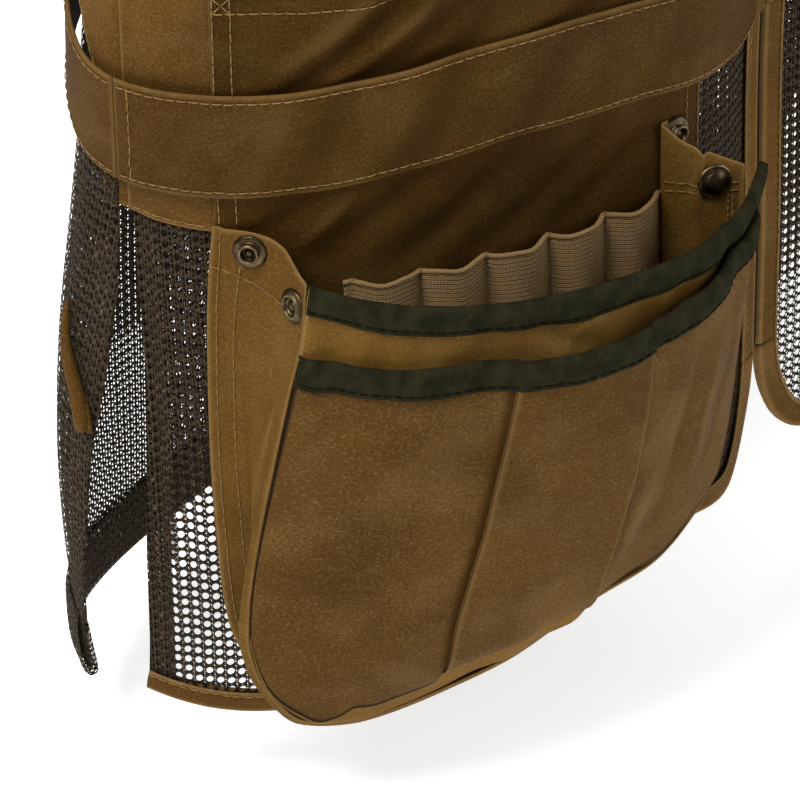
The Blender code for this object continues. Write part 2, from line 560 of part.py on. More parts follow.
def pocket_patch(share, rise, off=0.0):
    """The patch pocket over the front, with two pleats whose folded edges stand a little proud."""
    lift = ease(rise, (0.120, 0.165), (0.0, 0.0028))
    stand = ease(rise, (0.090, 0.178), (0.0, 0.0050)) * math.exp(-((share - 0.42) / 0.22) ** 2)
    half = 0.5 * CREASE_WIDTH
    pleat = PLEAT_DEPTH * ease(share, (CREASES[0] - half, CREASES[0] + half), (0.0, 1.0))
    pleat *= ease(share, (CREASES[1] - half, CREASES[1] + half), (1.0, 0.0))
    pleat *= ease(rise - pocket_edge(share, "low"), (0.0, 0.030), (0.0, 1.0))
    inset = ease(rise, (0.110, 0.180), (0.0, PATCH_INSET))
    return pocket_front(inset + share * (1.0 - inset), rise,
                        CANVAS_THICK + 0.0006 + lift + stand + pleat + off)


def patch_top(share):
    return read(PATCH_TOP, PATCH_TOP_COLUMNS, "share", share, "rise")


for side, mirrored in SIDES:
    for name, chart, top in (("front", pocket_front, lambda share: pocket_edge(share, "high")),
                             ("patch", pocket_patch, patch_top)):
        rows = []
        for share in POCKET_SHARES[::-1]:
            low, high = pocket_edge(share, "low"), top(share)
            rows.append([chart(share, low + part * (high - low)) for part in POCKET_ROWS])
        sheet(f"pocket_{name}_{side}", rows[::-1], CANVAS, CANVAS_THICK, mirrored)

# Mouth bindings: moleskin tape folded over the tops of the pocket front and of the patch.
for side, mirrored in SIDES:
    for name, chart, top in (("mouth", pocket_front, lambda share: pocket_edge(share, "high")),
                             ("patch", pocket_patch, patch_top)):
        path = [(chart, share, top(share), 0.0, -1.0) for share in POCKET_SHARES]
        binding(f"{name}_binding_{side}", path, MOLESKIN, 0.0100, CANVAS_THICK + 0.0010, -0.0010, mirrored)

# Shell loops: a band of ribbed elastic in the pocket, stitched down between its loops.
LOOP_STITCHES = (0.0860, 0.1131, 0.1394, 0.1668, 0.1938, 0.2202)
LOOP_LOW = 0.137
LOOP_HIGH = 0.197
LOOP_BULGE = 0.0072

for side, mirrored in SIDES:
    rows = [[on_body(0.0850, rise, ON_BACKING_OFF) for rise in (LOOP_LOW, LOOP_HIGH)]]
    for start, end in zip(LOOP_STITCHES, LOOP_STITCHES[1:]):
        for step in (0.0, 0.14, 0.38, 0.62, 0.86):
            off = ON_BACKING_OFF + LOOP_BULGE * math.sin(math.pi * step)
            rows.append([on_body(start + step * (end - start), rise, off) for rise in (LOOP_LOW, LOOP_HIGH)])
    for arc in (LOOP_STITCHES[-1], 0.2235):
        rows.append([on_body(arc, rise, ON_BACKING_OFF) for rise in (LOOP_LOW, LOOP_HIGH)])
    sheet(f"shell_loops_{side}", rows, ELASTIC, ELASTIC_THICK, mirrored)

# Side straps: a rolled canvas loop on each side of the back, near the vent.
STRAP = ((0.3550, 0.1510), (0.3515, 0.1400), (0.3480, 0.1280), (0.3460, 0.1180), (0.3450, 0.1090))
STRAP_RADIUS = 0.0030

for side, mirrored in SIDES:
    curve = bpy.data.curves.new(f"side_strap_{side}", "CURVE")
    curve.dimensions = "3D"
    curve.bevel_depth = STRAP_RADIUS
    curve.bevel_resolution = 2
    curve.use_fill_caps = True
    spline = curve.splines.new("POLY")
    spline.points.add(8)
    for i, point in enumerate(spline.points):
        rise = STRAP[0][1] + (STRAP[-1][1] - STRAP[0][1]) * i / 8
        arc = float(ease(rise, [row[1] for row in STRAP[::-1]], [row[0] for row in STRAP[::-1]]))
        place = on_body(arc, rise, MESH_THICK + STRAP_RADIUS + 0.0006)
        point.co = (-place[0] if mirrored else place[0], place[1], place[2], 1.0)
    curve.materials.append(CANVAS)
    VEST.objects.link(bpy.data.objects.new(f"side_strap_{side}", curve))

# Snaps: each ear has a socket on its outside, with a cap on the inside. The outer ear's stud is on the
# ear beside the backing, and the inner ear's is on the backing just above it.
STUD = ((0.0, 0.0), (SNAP_RADIUS, 0.0), (SNAP_RADIUS - 0.0004, 0.0013), (0.0036, 0.0013), (0.0034, 0.0036),
        (0.0, 0.0036))
SOCKET = ((0.0, 0.0), (SNAP_RADIUS, 0.0), (SNAP_RADIUS - 0.0004, 0.0014), (0.0042, 0.0024), (0.0030, 0.0010),
          (0.0, 0.0010))
CAP = ((0.0, 0.0), (SNAP_RADIUS + 0.0006, 0.0), (SNAP_RADIUS + 0.0006, 0.0008), (0.0048, 0.0022),
       (0.0, 0.0026))
SNAP_LIFT = 0.0010          # from the middle of the ear's cloth, which curves under the snaps
LAST_ROW = len(GUSSET) - 1
SNAPS = (("outer_stud", STUD, 0.35, 0.24), ("outer_socket", SOCKET, 0.80, 0.80),
         ("inner_socket", SOCKET, LAST_ROW - 0.55, 0.62))
INNER_STUD = (0.0755, 0.2200)


def gusset_facet(station, share):
    """Place on the gusset between its rows and columns of points, and the way out of the pocket."""
    i = min(int(station), LAST_ROW - 1)
    j = int(np.searchsorted(GUSSET_SHARES, share)) - 1
    near, far = ([gusset_point(i + k, GUSSET_SHARES[j + m]) for m in (0, 1)] for k in (0, 1))
    part = (share - GUSSET_SHARES[j]) / (GUSSET_SHARES[j + 1] - GUSSET_SHARES[j])
    first = near[0] + part * (near[1] - near[0])
    last = far[0] + part * (far[1] - far[0])
    outside = np.cross(last - first, near[1] - near[0] + far[1] - far[0])
    return first + (station - i) * (last - first), outside / np.linalg.norm(outside)


def turned(name, profile, place, axis, cloth):
    shape = bmesh.new()
    corners = [shape.verts.new((radius, 0.0, height)) for radius, height in reversed(profile)]
    for first, second in zip(corners, corners[1:]):
        shape.edges.new((first, second))
    mesh = bpy.data.meshes.new(name)
    shape.to_mesh(mesh)
    shape.free()
    made = link(name, mesh, cloth)
    spin = made.modifiers.new("turn", "SCREW")
    spin.steps = SNAP_SIDES
    spin.render_steps = SNAP_SIDES
    spin.use_merge_vertices = True
    spin.merge_threshold = 0.0001
    made.location = place
    made.rotation_mode = "QUATERNION"
    made.rotation_quaternion = Vector(axis).to_track_quat("Z", "Y")


for side, mirrored in SIDES:
    flip = np.array((-1.0 if mirrored else 1.0, 1.0, 1.0))
    for name, profile, station, share in SNAPS:
        place, outside = gusset_facet(station, share)
        turned(f"{name}_{side}", profile, (place + outside * SNAP_LIFT) * flip, outside * flip, BRASS)
        if profile is SOCKET:
            turned(f"{name}_cap_{side}", CAP, (place - outside * SNAP_LIFT) * flip, -outside * flip, BRASS)
    turned(f"inner_stud_{side}", STUD, on_body(*INNER_STUD, ON_BACKING_OFF) * flip,
           body_normal(*INNER_STUD) * flip, BRASS)
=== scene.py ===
import math

import bmesh
import bpy
import numpy as np
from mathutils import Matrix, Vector


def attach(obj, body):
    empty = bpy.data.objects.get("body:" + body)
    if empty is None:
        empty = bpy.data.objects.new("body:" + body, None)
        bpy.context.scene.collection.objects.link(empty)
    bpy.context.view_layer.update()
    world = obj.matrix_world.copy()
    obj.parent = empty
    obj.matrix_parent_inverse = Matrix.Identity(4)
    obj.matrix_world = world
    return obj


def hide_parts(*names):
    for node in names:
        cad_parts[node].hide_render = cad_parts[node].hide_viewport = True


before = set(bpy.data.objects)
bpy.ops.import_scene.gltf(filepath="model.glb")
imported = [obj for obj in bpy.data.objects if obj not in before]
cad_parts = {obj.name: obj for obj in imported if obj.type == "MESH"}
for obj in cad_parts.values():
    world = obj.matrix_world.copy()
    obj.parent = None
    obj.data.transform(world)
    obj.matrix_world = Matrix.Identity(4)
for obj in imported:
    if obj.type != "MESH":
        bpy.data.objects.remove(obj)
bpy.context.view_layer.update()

# Back: one panel of open knit from hem to shoulders, with the neck and armholes cut out of it. It
# hangs free below the sides' vents. The knit is stiff yarn in columns of oval holes, with a chain of
# small slits between the columns. Its pieces, like all the cloth here, lie on the body of the vest.
SHOULDER_HEIGHT = 0.666             # of the neck side of the shoulders above the hem
SHOULDER_TOP = 0.7345               # their seam's rise, counted along the cloth
SHOULDER_DROP = 0.36
VALLEY_WIDTH = 0.032                # of the hollow at centre front
ARC_STEP = 0.002
RISE_STEP = 0.0025
KNIT = (0.0043, 0.0045)             # width and height of one repeat of the knit
KNIT_FACES = (0.0006, -0.0006)      # offs of the yarn's two faces
SLITS_RISE = 0.105                  # above it the slits are closed up behind
BACK_SIDE = 0.262                   # from centre back to the free edges beside the vents
UNITLESS = ("front_power", "back_power", "share", "station", "flat")
MIRROR = np.array((-1.0, 1.0, 1.0))
SIDES = {"r": np.ones(3), "l": MIRROR}


def columns(names, *rows):
    """A table in millimetres, as its named columns in metres; a few columns have no unit."""
    table = dict(zip(names.split(), np.array(rows, float).T))
    return {name: table[name] / (1.0 if name in UNITLESS else 1000.0) for name in table}


def curve(x, xs, ys):
    """Smooth curve through a table at each x, with no overshoot."""
    xs, ys = np.asarray(xs, float), np.asarray(ys, float)
    x = np.clip(x, xs[0], xs[-1])
    slope = np.diff(ys) / np.diff(xs)
    tangent = np.r_[slope[0], np.zeros(len(xs) - 2), slope[-1]]
    before, after = slope[:-1], slope[1:]
    turning = before * after <= 0.0
    total = np.where(turning, 1.0, before + after)
    tangent[1:-1] = np.where(turning, 0.0, 2.0 * before * after / total)
    i = np.clip(np.searchsorted(xs, x, side="right") - 1, 0, len(xs) - 2)
    width = xs[i + 1] - xs[i]
    t = (x - xs[i]) / width
    return ((2 * t**3 - 3 * t**2 + 1) * ys[i] + (t**3 - 2 * t**2 + t) * width * tangent[i]
            + (3 * t**2 - 2 * t**3) * ys[i + 1] + (t**3 - t**2) * width * tangent[i + 1])


def distances(points):
    """How far along a line each of its points is."""
    return np.r_[0.0, np.cumsum(np.linalg.norm(np.diff(points, axis=0), axis=-1))]


def unit(vectors):
    return vectors / (np.linalg.norm(vectors, axis=-1, keepdims=True) + 1e-12)


BODY = columns("rise height half_width front_depth front_power valley back_depth back_power",
    (-30, -30, 266, 135, 1.85, 14, 86, 3.2), (0, 0, 266, 135, 1.85, 14, 86, 3.2),
    (120, 120, 260, 132, 1.85, 14, 88, 3), (240, 240, 247, 127, 1.85, 14, 90, 2.6),
    (320, 320, 247, 127, 1.85, 12, 92, 2.4), (420, 420, 243, 126, 1.95, 8, 100, 2.3),
    (500, 497, 235, 122, 2.1, 4, 106, 2.4), (570, 560, 222, 106, 2.3, 0, 104, 2.5),
    (630, 612, 208, 80, 2.5, 0, 88, 2.6), (680, 646, 196, 46, 2.6, 0, 56, 2.6),
    (735, 666, 186, 1, 2.6, 0, 1, 2.6))
RISES = np.arange(-0.030, 0.7376, RISE_STEP)
ARCS = np.arange(-0.020, 0.700, ARC_STEP)
surface = np.empty((len(RISES), len(ARCS), 3))
girths = np.empty(len(RISES))
quarter = np.linspace(math.pi / 2, 0.0, 300)
for k, rise in enumerate(RISES):
    size = {name: float(curve(rise, BODY["rise"], BODY[name])) for name in BODY}
    ring = []
    for part, turn, way in (("front", quarter, -1.0), ("back", quarter[-2::-1], 1.0)):
        x = -size["half_width"] * np.cos(turn) ** (2 / size[f"{part}_power"])
        y = way * size[f"{part}_depth"] * np.sin(turn) ** (2 / size[f"{part}_power"])
        if part == "front":
            y += size["valley"] * np.exp(-(x / VALLEY_WIDTH) ** 2)
        ring.append(np.stack([x, y], -1))
    ring = np.concatenate(ring)
    lengths = distances(ring)
    girths[k] = lengths[-1]
    past = np.abs(ARCS) > girths[k]
    arc = np.where(past, 2.0 * girths[k] - np.abs(ARCS), np.abs(ARCS))
    x = np.interp(arc, lengths, ring[:, 0])
    fall = float(curve(rise, (0.50, 0.70), (0.0, SHOULDER_DROP))) * np.maximum(0.0, -x - 0.07)
    surface[k, :, 0] = np.where((ARCS < 0.0) ^ past, -x, x)
    surface[k, :, 1] = np.interp(arc, lengths, ring[:, 1])
    surface[k, :, 2] = size["height"] - fall - SHOULDER_HEIGHT
outward = unit(np.cross(np.gradient(surface, axis=0), np.gradient(surface, axis=1)))


def on_body(arc, rise, off=0.0):
    """Points on the wearer's right half, from centre front; an arc below zero is on the left half."""
    arc, rise, off = np.broadcast_arrays(arc, rise, off)
    across = (np.abs(arc) - ARCS[0]) / ARC_STEP
    along = (rise - RISES[0]) / RISE_STEP
    i = np.clip(along.astype(int), 0, len(RISES) - 2)
    j = np.clip(across.astype(int), 0, len(ARCS) - 2)
    up = np.clip(along - i, 0.0, 1.0)[..., None]
    round_ = (across - j)[..., None]
    place, out = ((1 - up) * ((1 - round_) * grid[i, j] + round_ * grid[i, j + 1])
                  + up * ((1 - round_) * grid[i + 1, j] + round_ * grid[i + 1, j + 1])
                  for grid in (surface, outward))
    points = place + unit(out) * off[..., None]
    points[..., 0] *= np.where(arc < 0.0, -1.0, 1.0)
    return points


def folds(across, up, table):
    """Height of soft folds: each runs between two places, and fades towards its ends."""
    height = np.zeros(np.broadcast(across, up).shape)
    for x0, y0, x1, y1, width, depth in zip(*table.values()):
        along = np.array((x1 - x0, y1 - y0))
        length = np.linalg.norm(along)
        along /= length
        t = (across - x0) * along[0] + (up - y0) * along[1]
        side = -(across - x0) * along[1] + (up - y0) * along[0]
        ends = np.clip(t / length, 0.0, 1.0)
        bend = 0.1 * width * np.sin(9 * ends)
        height += depth * np.sin(math.pi * ends) ** 0.8 * np.exp(-((side + bend) / width) ** 2)
    return height


FOLD_COLUMNS = "arc rise to_arc to_rise width depth"
BACK_FOLDS = columns(FOLD_COLUMNS,
    (150, 560, 175, 20, 14, -4.5), (-160, 540, -150, 10, 16, -5), (60, 480, 75, -10, 20, -3.5),
    (-40, 500, -65, 0, 18, -4), (235, 330, 262, 10, 10, -4), (-240, 300, -255, 20, 11, -3.5),
    (110, 260, 118, 0, 11, -2.5), (-105, 250, -112, 5, 10, -2.8), (10, 640, 120, 560, 12, -2),
    (-20, 640, -125, 570, 13, -2.2))


def on_back(reach, rise, off=0.0):
    """Points at a distance from centre back, above zero towards the wearer's right. The free edges
    stand off a little, and their lower corners curl in."""
    reach, rise, off = np.broadcast_arrays(reach, rise, off)
    slack = folds(reach, rise, BACK_FOLDS) * np.clip((0.66 - rise) / 0.06, 0.0, 1.0)
    from_edge = BACK_SIDE - np.abs(reach)
    edge = np.clip(1.0 - from_edge / 0.085, 0.0, 1.0)
    slack = slack + 0.0060 * edge * curve(rise, (0.030, 0.110, 0.200, 0.285), (0.0, 1.0, 0.8, 0.0))
    curl = np.clip(1.0 - from_edge / 0.030, 0.0, 1.0) * np.clip((0.055 - rise) / 0.065, 0.0, 1.0)
    slack = slack - 0.008 * curl ** 1.5
    rise = rise - 0.013 * curl
    points = on_body(np.interp(rise, RISES, girths) - np.abs(reach), rise, off + slack)
    points[..., 0] *= np.where(reach < 0.0, -1.0, 1.0)
    return points


def lines(length, step, edges="start end"):
    """Shares from 0 to 1, about a step apart, and closer beside the ends that edges names."""
    fine = np.array((0.0, 0.00012, 0.00040, 0.0009, 0.0017, 0.0030)) / length
    shares = np.linspace(0.0, 1.0, max(3, int(round(length / step)) + 1))
    if "start" in edges:
        shares = np.r_[fine, shares[shares > fine[-1] * 1.4]]
    if "end" in edges:
        shares = np.r_[shares[shares < 1.0 - fine[-1] * 1.4], 1.0 - fine[::-1]]
    return shares


def quads(index):
    """Faces over a grid of points, from the grid of their indices."""
    return np.stack([index[:-1, :-1], index[:-1, 1:], index[1:, 1:], index[1:, :-1]], -1).reshape(-1, 4)


def build(name, points, faces, spread, masks, finish, mirrored=False):
    """A piece from its points, its faces, its lie on the cloth in metres and its named masks."""
    if mirrored:
        points, faces = points * MIRROR, faces[:, ::-1]
    mesh = bpy.data.meshes.new(name)
    mesh.from_pydata(np.asarray(points).tolist(), [], faces if isinstance(faces, list) else faces.tolist())
    corners = np.empty(len(mesh.loops), int)
    mesh.loops.foreach_get("vertex_index", corners)
    lie = np.asarray(spread)[corners].astype(np.float32).ravel()
    mesh.uv_layers.new(name="cloth").data.foreach_set("uv", lie)
    for mask, values in masks.items():
        values = np.asarray(values, np.float32).ravel()
        mesh.attributes.new(mask, "FLOAT", "POINT").data.foreach_set("value", values)
    mesh.polygons.foreach_set("use_smooth", np.ones(len(mesh.polygons), bool))
    mesh.materials.append(finish)
    mesh.validate()
    piece = bpy.data.objects.new(name, mesh)
    bpy.context.scene.collection.objects.link(piece)
    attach(piece, "root")
    return piece


def knit_sheet(name, node, chart, across, up, turned, snugness=0.0):
    """One layer of knit over a chart. The yarn is thick, so it has two faces with the same holes in
    them, which close up seen from aside; turned marks its doubled edges."""
    points = np.concatenate([chart(across, up, off).reshape(-1, 3) for off in KNIT_FACES])
    index = np.arange(across.size).reshape(across.shape)
    rim = np.r_[index[:-1, 0], index[-1, :-1], index[:0:-1, -1], index[0, :0:-1]]
    far = np.roll(rim, -1)
    sides = np.stack([rim, rim + across.size, far + across.size, far], -1)
    faces = np.concatenate([quads(index), quads(index + across.size)[:, ::-1], sides])
    lie = np.tile(np.stack([across, up], -1).reshape(-1, 2), (2, 1))
    masks = {"turned_edge": np.tile(turned.ravel(), 2),
             "closed": np.r_[np.zeros(up.size), up.ravel() > SLITS_RISE],
             "snug": np.tile(curve(up.ravel(), (SLITS_RISE, SLITS_RISE + 0.050), (snugness, 1.0)), 2)}
    piece = build(name, points, faces, lie, masks, KNIT_FINISH, name.endswith("_l"))
    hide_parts(node)


def arithmetic(operation):
    """A method that adds a math node to a shader."""
    def method(self, *others):
        values = {f"_{i}": value for i, value in enumerate((self, *others))}
        return wire("ShaderNodeMath", {"operation": operation}, **values)
    return method


class Value:
    """A value in a shader, with the arithmetic that shaders have nodes for."""
    __add__, __sub__, __mul__, __truediv__, __pow__ = map(
        arithmetic, ("ADD", "SUBTRACT", "MULTIPLY", "DIVIDE", "POWER"))
    least, most, above = map(arithmetic, ("MINIMUM", "MAXIMUM", "GREATER_THAN"))
    sine, absolute, fraction = map(arithmetic, ("SINE", "ABSOLUTE", "FRACT"))

    def __init__(self, socket):
        self.socket = socket


def feed(socket, value):
    """Gives a node's socket a value, a number, a colour or, by its name, a mask of the pieces."""
    tree = socket.id_data
    if isinstance(value, str):
        value = wire("ShaderNodeAttribute", {"attribute_name": value}, "Fac", tree)
    if isinstance(value, Value):
        tree.links.new(value.socket, socket)
    elif isinstance(value, tuple) and len(value) < len(socket.default_value):
        socket.default_value = (*value, 1.0)
    else:
        socket.default_value = value


def wire(kind, settings=(), out=0, tree=None, **inputs):
    """Adds a shader node beside the values that it takes, or to a given tree, and gives one of its
    outputs. Inputs go by name, or by place as _0, _1 and so on."""
    tree = tree or next(value.socket.id_data for value in inputs.values() if isinstance(value, Value))
    node = tree.nodes.new(kind)
    for name, value in dict(settings).items():
        setattr(node, name, value)
    for name, value in inputs.items():
        feed(node.inputs[int(name[1:]) if name[1:].isdigit() else name.replace("_", " ")], value)
    return Value(node.outputs[out])


def blend(share, first, second):
    """Colour between two colours."""
    settings = {"data_type": "RGBA", "blend_type": "MIX", "clamp_factor": True}
    return wire("ShaderNodeMix", settings, 2, _0=share, _6=first, _7=second)


def step_between(value, low, high):
    """0 below low, 1 above high, and smooth between them; the other way round if low is above high."""
    return wire("ShaderNodeMapRange", {"interpolation_type": "SMOOTHSTEP"}, _0=value, _1=low, _2=high)


def speckle(place, scale, detail=2.0, rough=0.5):
    """Even noise, from 0 to 1, with scale repeats in each metre."""
    return wire("ShaderNodeTexNoise", Vector=place, Scale=scale, Detail=detail, Roughness=rough)


def wave(value, pitch):
    """A wave between 0 and 1."""
    return (value * (2 * math.pi / pitch)).sine() * 0.5 + 0.5


def cell(value):
    """The place within one repeat, from its middle."""
    return value.fraction() - 0.5


def parts(place, wander=0.0, scale=1.0):
    """The first two parts of a place, which may wander a little."""
    if wander:
        noise = wire("ShaderNodeTexNoise", (), 1, Vector=place, Scale=scale, Detail=1.0)
        place = wire("ShaderNodeVectorMath", {"operation": "MULTIPLY_ADD"},
                     _0=noise, _1=(wander, wander, 0.0), _2=place)
    outputs = wire("ShaderNodeSeparateXYZ", _0=place).socket.node.outputs
    return Value(outputs[0]), Value(outputs[1])


def effect(name, outputs, **inputs):
    """A node group over a place, whose other inputs are told by their defaults; gives its inner ends."""
    tree = bpy.data.node_groups.new(name, "ShaderNodeTree")
    tree.interface.new_socket("Place", in_out="INPUT", socket_type="NodeSocketVector")
    for label, value in inputs.items():
        kind = "NodeSocketFloat" if isinstance(value, float) else "NodeSocketColor"
        end = tree.interface.new_socket(label.replace("_", " "), in_out="INPUT", socket_type=kind)
        end.default_value = value if isinstance(value, float) else (*value, 1.0)
    for label in outputs.split():
        kind = "NodeSocketColor" if label == "Colour" else "NodeSocketFloat"
        tree.interface.new_socket(label, in_out="OUTPUT", socket_type=kind)
    given = {end.name: Value(end) for end in tree.nodes.new("NodeGroupInput").outputs}
    return given, tree.nodes.new("NodeGroupOutput").inputs


def finish_of(name, roughness, shine=0.5, metallic=0.0, on_cloth=True):
    """A new material; returns it, the ends of its shader, and the place on the cloth or in space."""
    made = bpy.data.materials.new(name)
    made.use_nodes = True
    ends = made.node_tree.nodes["Principled BSDF"].inputs
    for label, value in (("Roughness", roughness), ("Specular IOR Level", shine), ("Metallic", metallic)):
        ends[label].default_value = value
    if on_cloth:
        return made, ends, wire("ShaderNodeUVMap", {"uv_map": "cloth"}, 0, made.node_tree)
    return made, ends, wire("ShaderNodeNewGeometry", (), "Position", made.node_tree)


def bump(ends, height, distance, strength=1.0):
    feed(ends["Normal"], wire("ShaderNodeBump", Height=height, Distance=distance, Strength=strength))


def finish_with(group, name, roughness, shine, relief, strength=1.0, metallic=0.0, on_cloth=True, **inputs):
    """A material that has its colour, relief and so on from one of the shared effects."""
    made, ends, place = finish_of(name, roughness, shine, metallic, on_cloth)
    settings = {"node_tree": bpy.data.node_groups[group]}
    outputs = wire("ShaderNodeGroup", settings, Place=place, **inputs).socket.node.outputs
    for label, end in (("Colour", "Base Color"), ("Roughness", "Roughness"), ("Cover", "Alpha")):
        if label in outputs:
            feed(ends[end], Value(outputs[label]))
    bump(ends, Value(outputs["Height"]), relief, strength)
    return made


given, result = effect("open knit", "Cover Colour Height", Two_layers=0.0, No_slits=0.0, Snug=0.0)
place = given["Place"]
x, y = parts(place, 0.0007, 90.0)
across, up = x / KNIT[0], y / KNIT[1]
closer = given["Snug"] * 1.1 + (given["Two layers"] * 0.9 + 1.0)
covers = []
for shift in (0.0, 0.45):
    hole_x, hole_y = cell(across + shift), cell(up + shift * 1.2)
    hole = (((hole_y * 0.22 + hole_x) / 0.355) ** 2.0 + (hole_y / 0.430) ** 2.0) * closer
    slit_x, slit_y = cell(across + (shift + 0.5)), cell(up * 2.0 + (shift + 0.35))
    slit = ((slit_y * -0.06 + slit_x) / 0.100) ** 2.0 + (slit_y / 0.34) ** 2.0
    nearest = hole.least(given["No slits"] * 9.0 + slit)
    covers.append((step_between(nearest, 0.82, 1.12), nearest, slit))
feed(result["Cover"], covers[0][0].most(covers[1][0] * given["Two layers"]))
yarn = step_between(covers[0][1], 0.9, 2.4)
relief = wave(x * 0.7 + y, 0.00092) * 0.4 + wave(x, KNIT[0] / 3) * 0.5
feed(result["Height"], yarn + relief)
fleck = step_between(speckle(place, 330.0), 0.50, 0.66) * step_between(covers[0][2], 3.5, 1.4)
# painted shade: the yarn darkens towards the edge of each hole and in the grooves of its relief
colour = blend(yarn, (0.012, 0.009, 0.006), (0.098, 0.071, 0.044))
colour = blend(speckle(place, 35.0, 3.0), colour, (0.056, 0.039, 0.024))
colour = blend(step_between(relief, 0.50, 0.05), colour, (0.009, 0.006, 0.004))
feed(result["Colour"], blend(fleck * 0.75, colour, (0.240, 0.160, 0.082)))
KNIT_FINISH = finish_with("open knit", "knit_mesh", 0.88, 0.08, 0.0010,
                          Two_layers="turned_edge", No_slits="closed", Snug="snug")

BACK_VENT = columns("rise side_arc",
    (0, 356), (28, 350), (56, 341.5), (78, 336.2), (98, 332.2), (115, 328.8), (142, 321), (164, 315.5),
    (186, 310.8), (205, 308), (420, 307.8))
BACK_ARM = columns("rise reach",
    (445, 240), (470, 208), (500, 190), (540, 179), (580, 173), (630, 171), (680, 173), (735, 178))
BACK_NECK = columns("share rise", (0, 698), (0.16, 701), (0.3, 714), (0.415, 734.5), (1, 734.5))
ARMHOLE_RISE = 0.420
TAIL_DROP = 0.014
BACK_TURN = 0.0125                  # width of the turned edges beside the vents


def back_reach(rise):
    """Half of the back's width at each rise."""
    below = np.interp(rise, RISES, girths) - np.interp(rise, *BACK_VENT.values())
    lowest = np.interp(ARMHOLE_RISE, RISES, girths) - BACK_VENT["side_arc"][-1]
    beside = np.interp(rise, np.r_[ARMHOLE_RISE, BACK_ARM["rise"]], np.r_[lowest, BACK_ARM["reach"]])
    return np.where(np.asarray(rise) <= ARMHOLE_RISE, below, beside)


def back_top(share):
    return np.interp(np.abs(share), *BACK_NECK.values())


def tail_rise(share):
    return -TAIL_DROP * (1.0 - np.asarray(share) ** 2)


share = np.linspace(-1.0, 1.0, 131)[::-1][:, None]
height = np.linspace(0.0, 1.0, 151)[None, :]
rise = tail_rise(share) + height * (back_top(share) - tail_rise(share))
reach = share * back_reach(rise)
turned = (back_reach(rise) - np.abs(reach) < BACK_TURN) & (rise < BACK_VENT["rise"][-2])
knit_sheet("back_knit", "back_mesh", on_back, reach, rise, turned, snugness=0.7)

# Fronts, lower part: each front is the same knit from its hem to behind the belt. The hem curves up
# to the front edge; the rear edge is turned in and hangs free, as the front side of the vent.
FRONT_HEM = columns("arc rise",
    (3.5, 78.5), (4.4, 70), (5.7, 62.5), (7.7, 55.5), (10.2, 49.2), (13.4, 42.7), (17.4, 37), (22.4, 32.2),
    (28, 28.8), (34.5, 27.2), (45, 27.8), (61, 30.5), (82, 32), (103, 29), (124, 22), (166, 11), (208, 4),
    (249, 2), (280, 3), (312, 8))
VENT = columns("rise arc",
    (0, 312.2), (30, 310.3), (68, 309.3), (105, 307.4), (140, 305.2), (170, 304.2), (262, 304.2))
FRONT_EDGE_ARC, REAR_EDGE_ARC = 0.0035, 0.3120
FRONT_KNIT_TOP = 0.262
VENT_START = 0.290                  # from this arc the knit narrows to the vent's edge
VENT_TURN = 0.0105                  # width of the turned edge
FRONT_FOLDS = columns(FOLD_COLUMNS,
    (235, 205, 182, 246, 5.8, -3), (212, 193, 148, 240, 6.4, -3.6), (182, 190, 105, 238, 6.2, -3),
    (140, 195, 78, 233, 5, -2.4), (262, 212, 228, 240, 4.5, -2.8), (244, 208, 212, 239, 3.2, 2),
    (252, 270, 185, 323, 5, -4.2), (248, 281, 200, 323, 5.5, 2.6), (233, 271, 160, 315, 5, -4.2),
    (229, 280, 178, 314, 5, 2.6), (210, 272, 145, 305, 7, -3), (150, 276, 90, 310, 8, -2.8),
    (300, 230, 303, 30, 4.2, -3.4), (286, 225, 293, 15, 3.8, -2.2), (276, 225, 280, 40, 3, -1.2),
    (285, 390, 245, 305, 11, -4), (230, 430, 170, 360, 14, -4), (130, 450, 70, 350, 15, -3.4),
    (50, 560, 150, 500, 13, -3), (165, 630, 100, 530, 14, -3.6), (200, 490, 110, 470, 11, -2.6))


def on_front(arc, rise, off=0.0):
    """Points on the fronts; the layers that lie on them share their folds, and what stands off doesn't."""
    arc, rise, off = np.broadcast_arrays(arc, rise, off)
    slack = folds(np.abs(arc), rise, FRONT_FOLDS) * np.clip(1.0 - (off - 0.006) / 0.012, 0.0, 1.0)
    return on_body(arc, rise, off + slack * np.clip((0.70 - rise) / 0.05, 0.0, 1.0))


across = np.r_[FRONT_EDGE_ARC, np.linspace(0.0065, 0.2980, 90),
               np.linspace(0.3000, REAR_EDGE_ARC, 9)][:, None]
low = curve(across, *FRONT_HEM.values())
rise = low + np.linspace(0.0, 1.0, 66)[None, :] * (FRONT_KNIT_TOP - low)
vent = np.interp(rise, *VENT.values())
arc = VENT_START + (across - VENT_START) * (vent - VENT_START) / (REAR_EDGE_ARC - VENT_START)
arc = np.where(across > VENT_START, arc, across)
for side in SIDES:
    knit_sheet(f"front_knit_{side}", f"front_mesh_{side}", on_front, arc, rise, vent - arc < VENT_TURN)

# Fronts, upper part: waxed cotton twill from the belt to the shoulder, laid over the knit's top edge
# and hemmed there with one row of stitches. Each piece of this cloth has a rolled rim, paler where it
# rubs, and the wax leaves it mottled and a little dusty.
CANVAS_OFF = 0.0016
CANVAS_THICK = 0.0014
ROLL = 0.8                          # width of a rolled rim, in thicknesses of the cloth
THREAD_RADIUS = 0.00027
STITCH = 0.0044                     # from one needle hole to the next

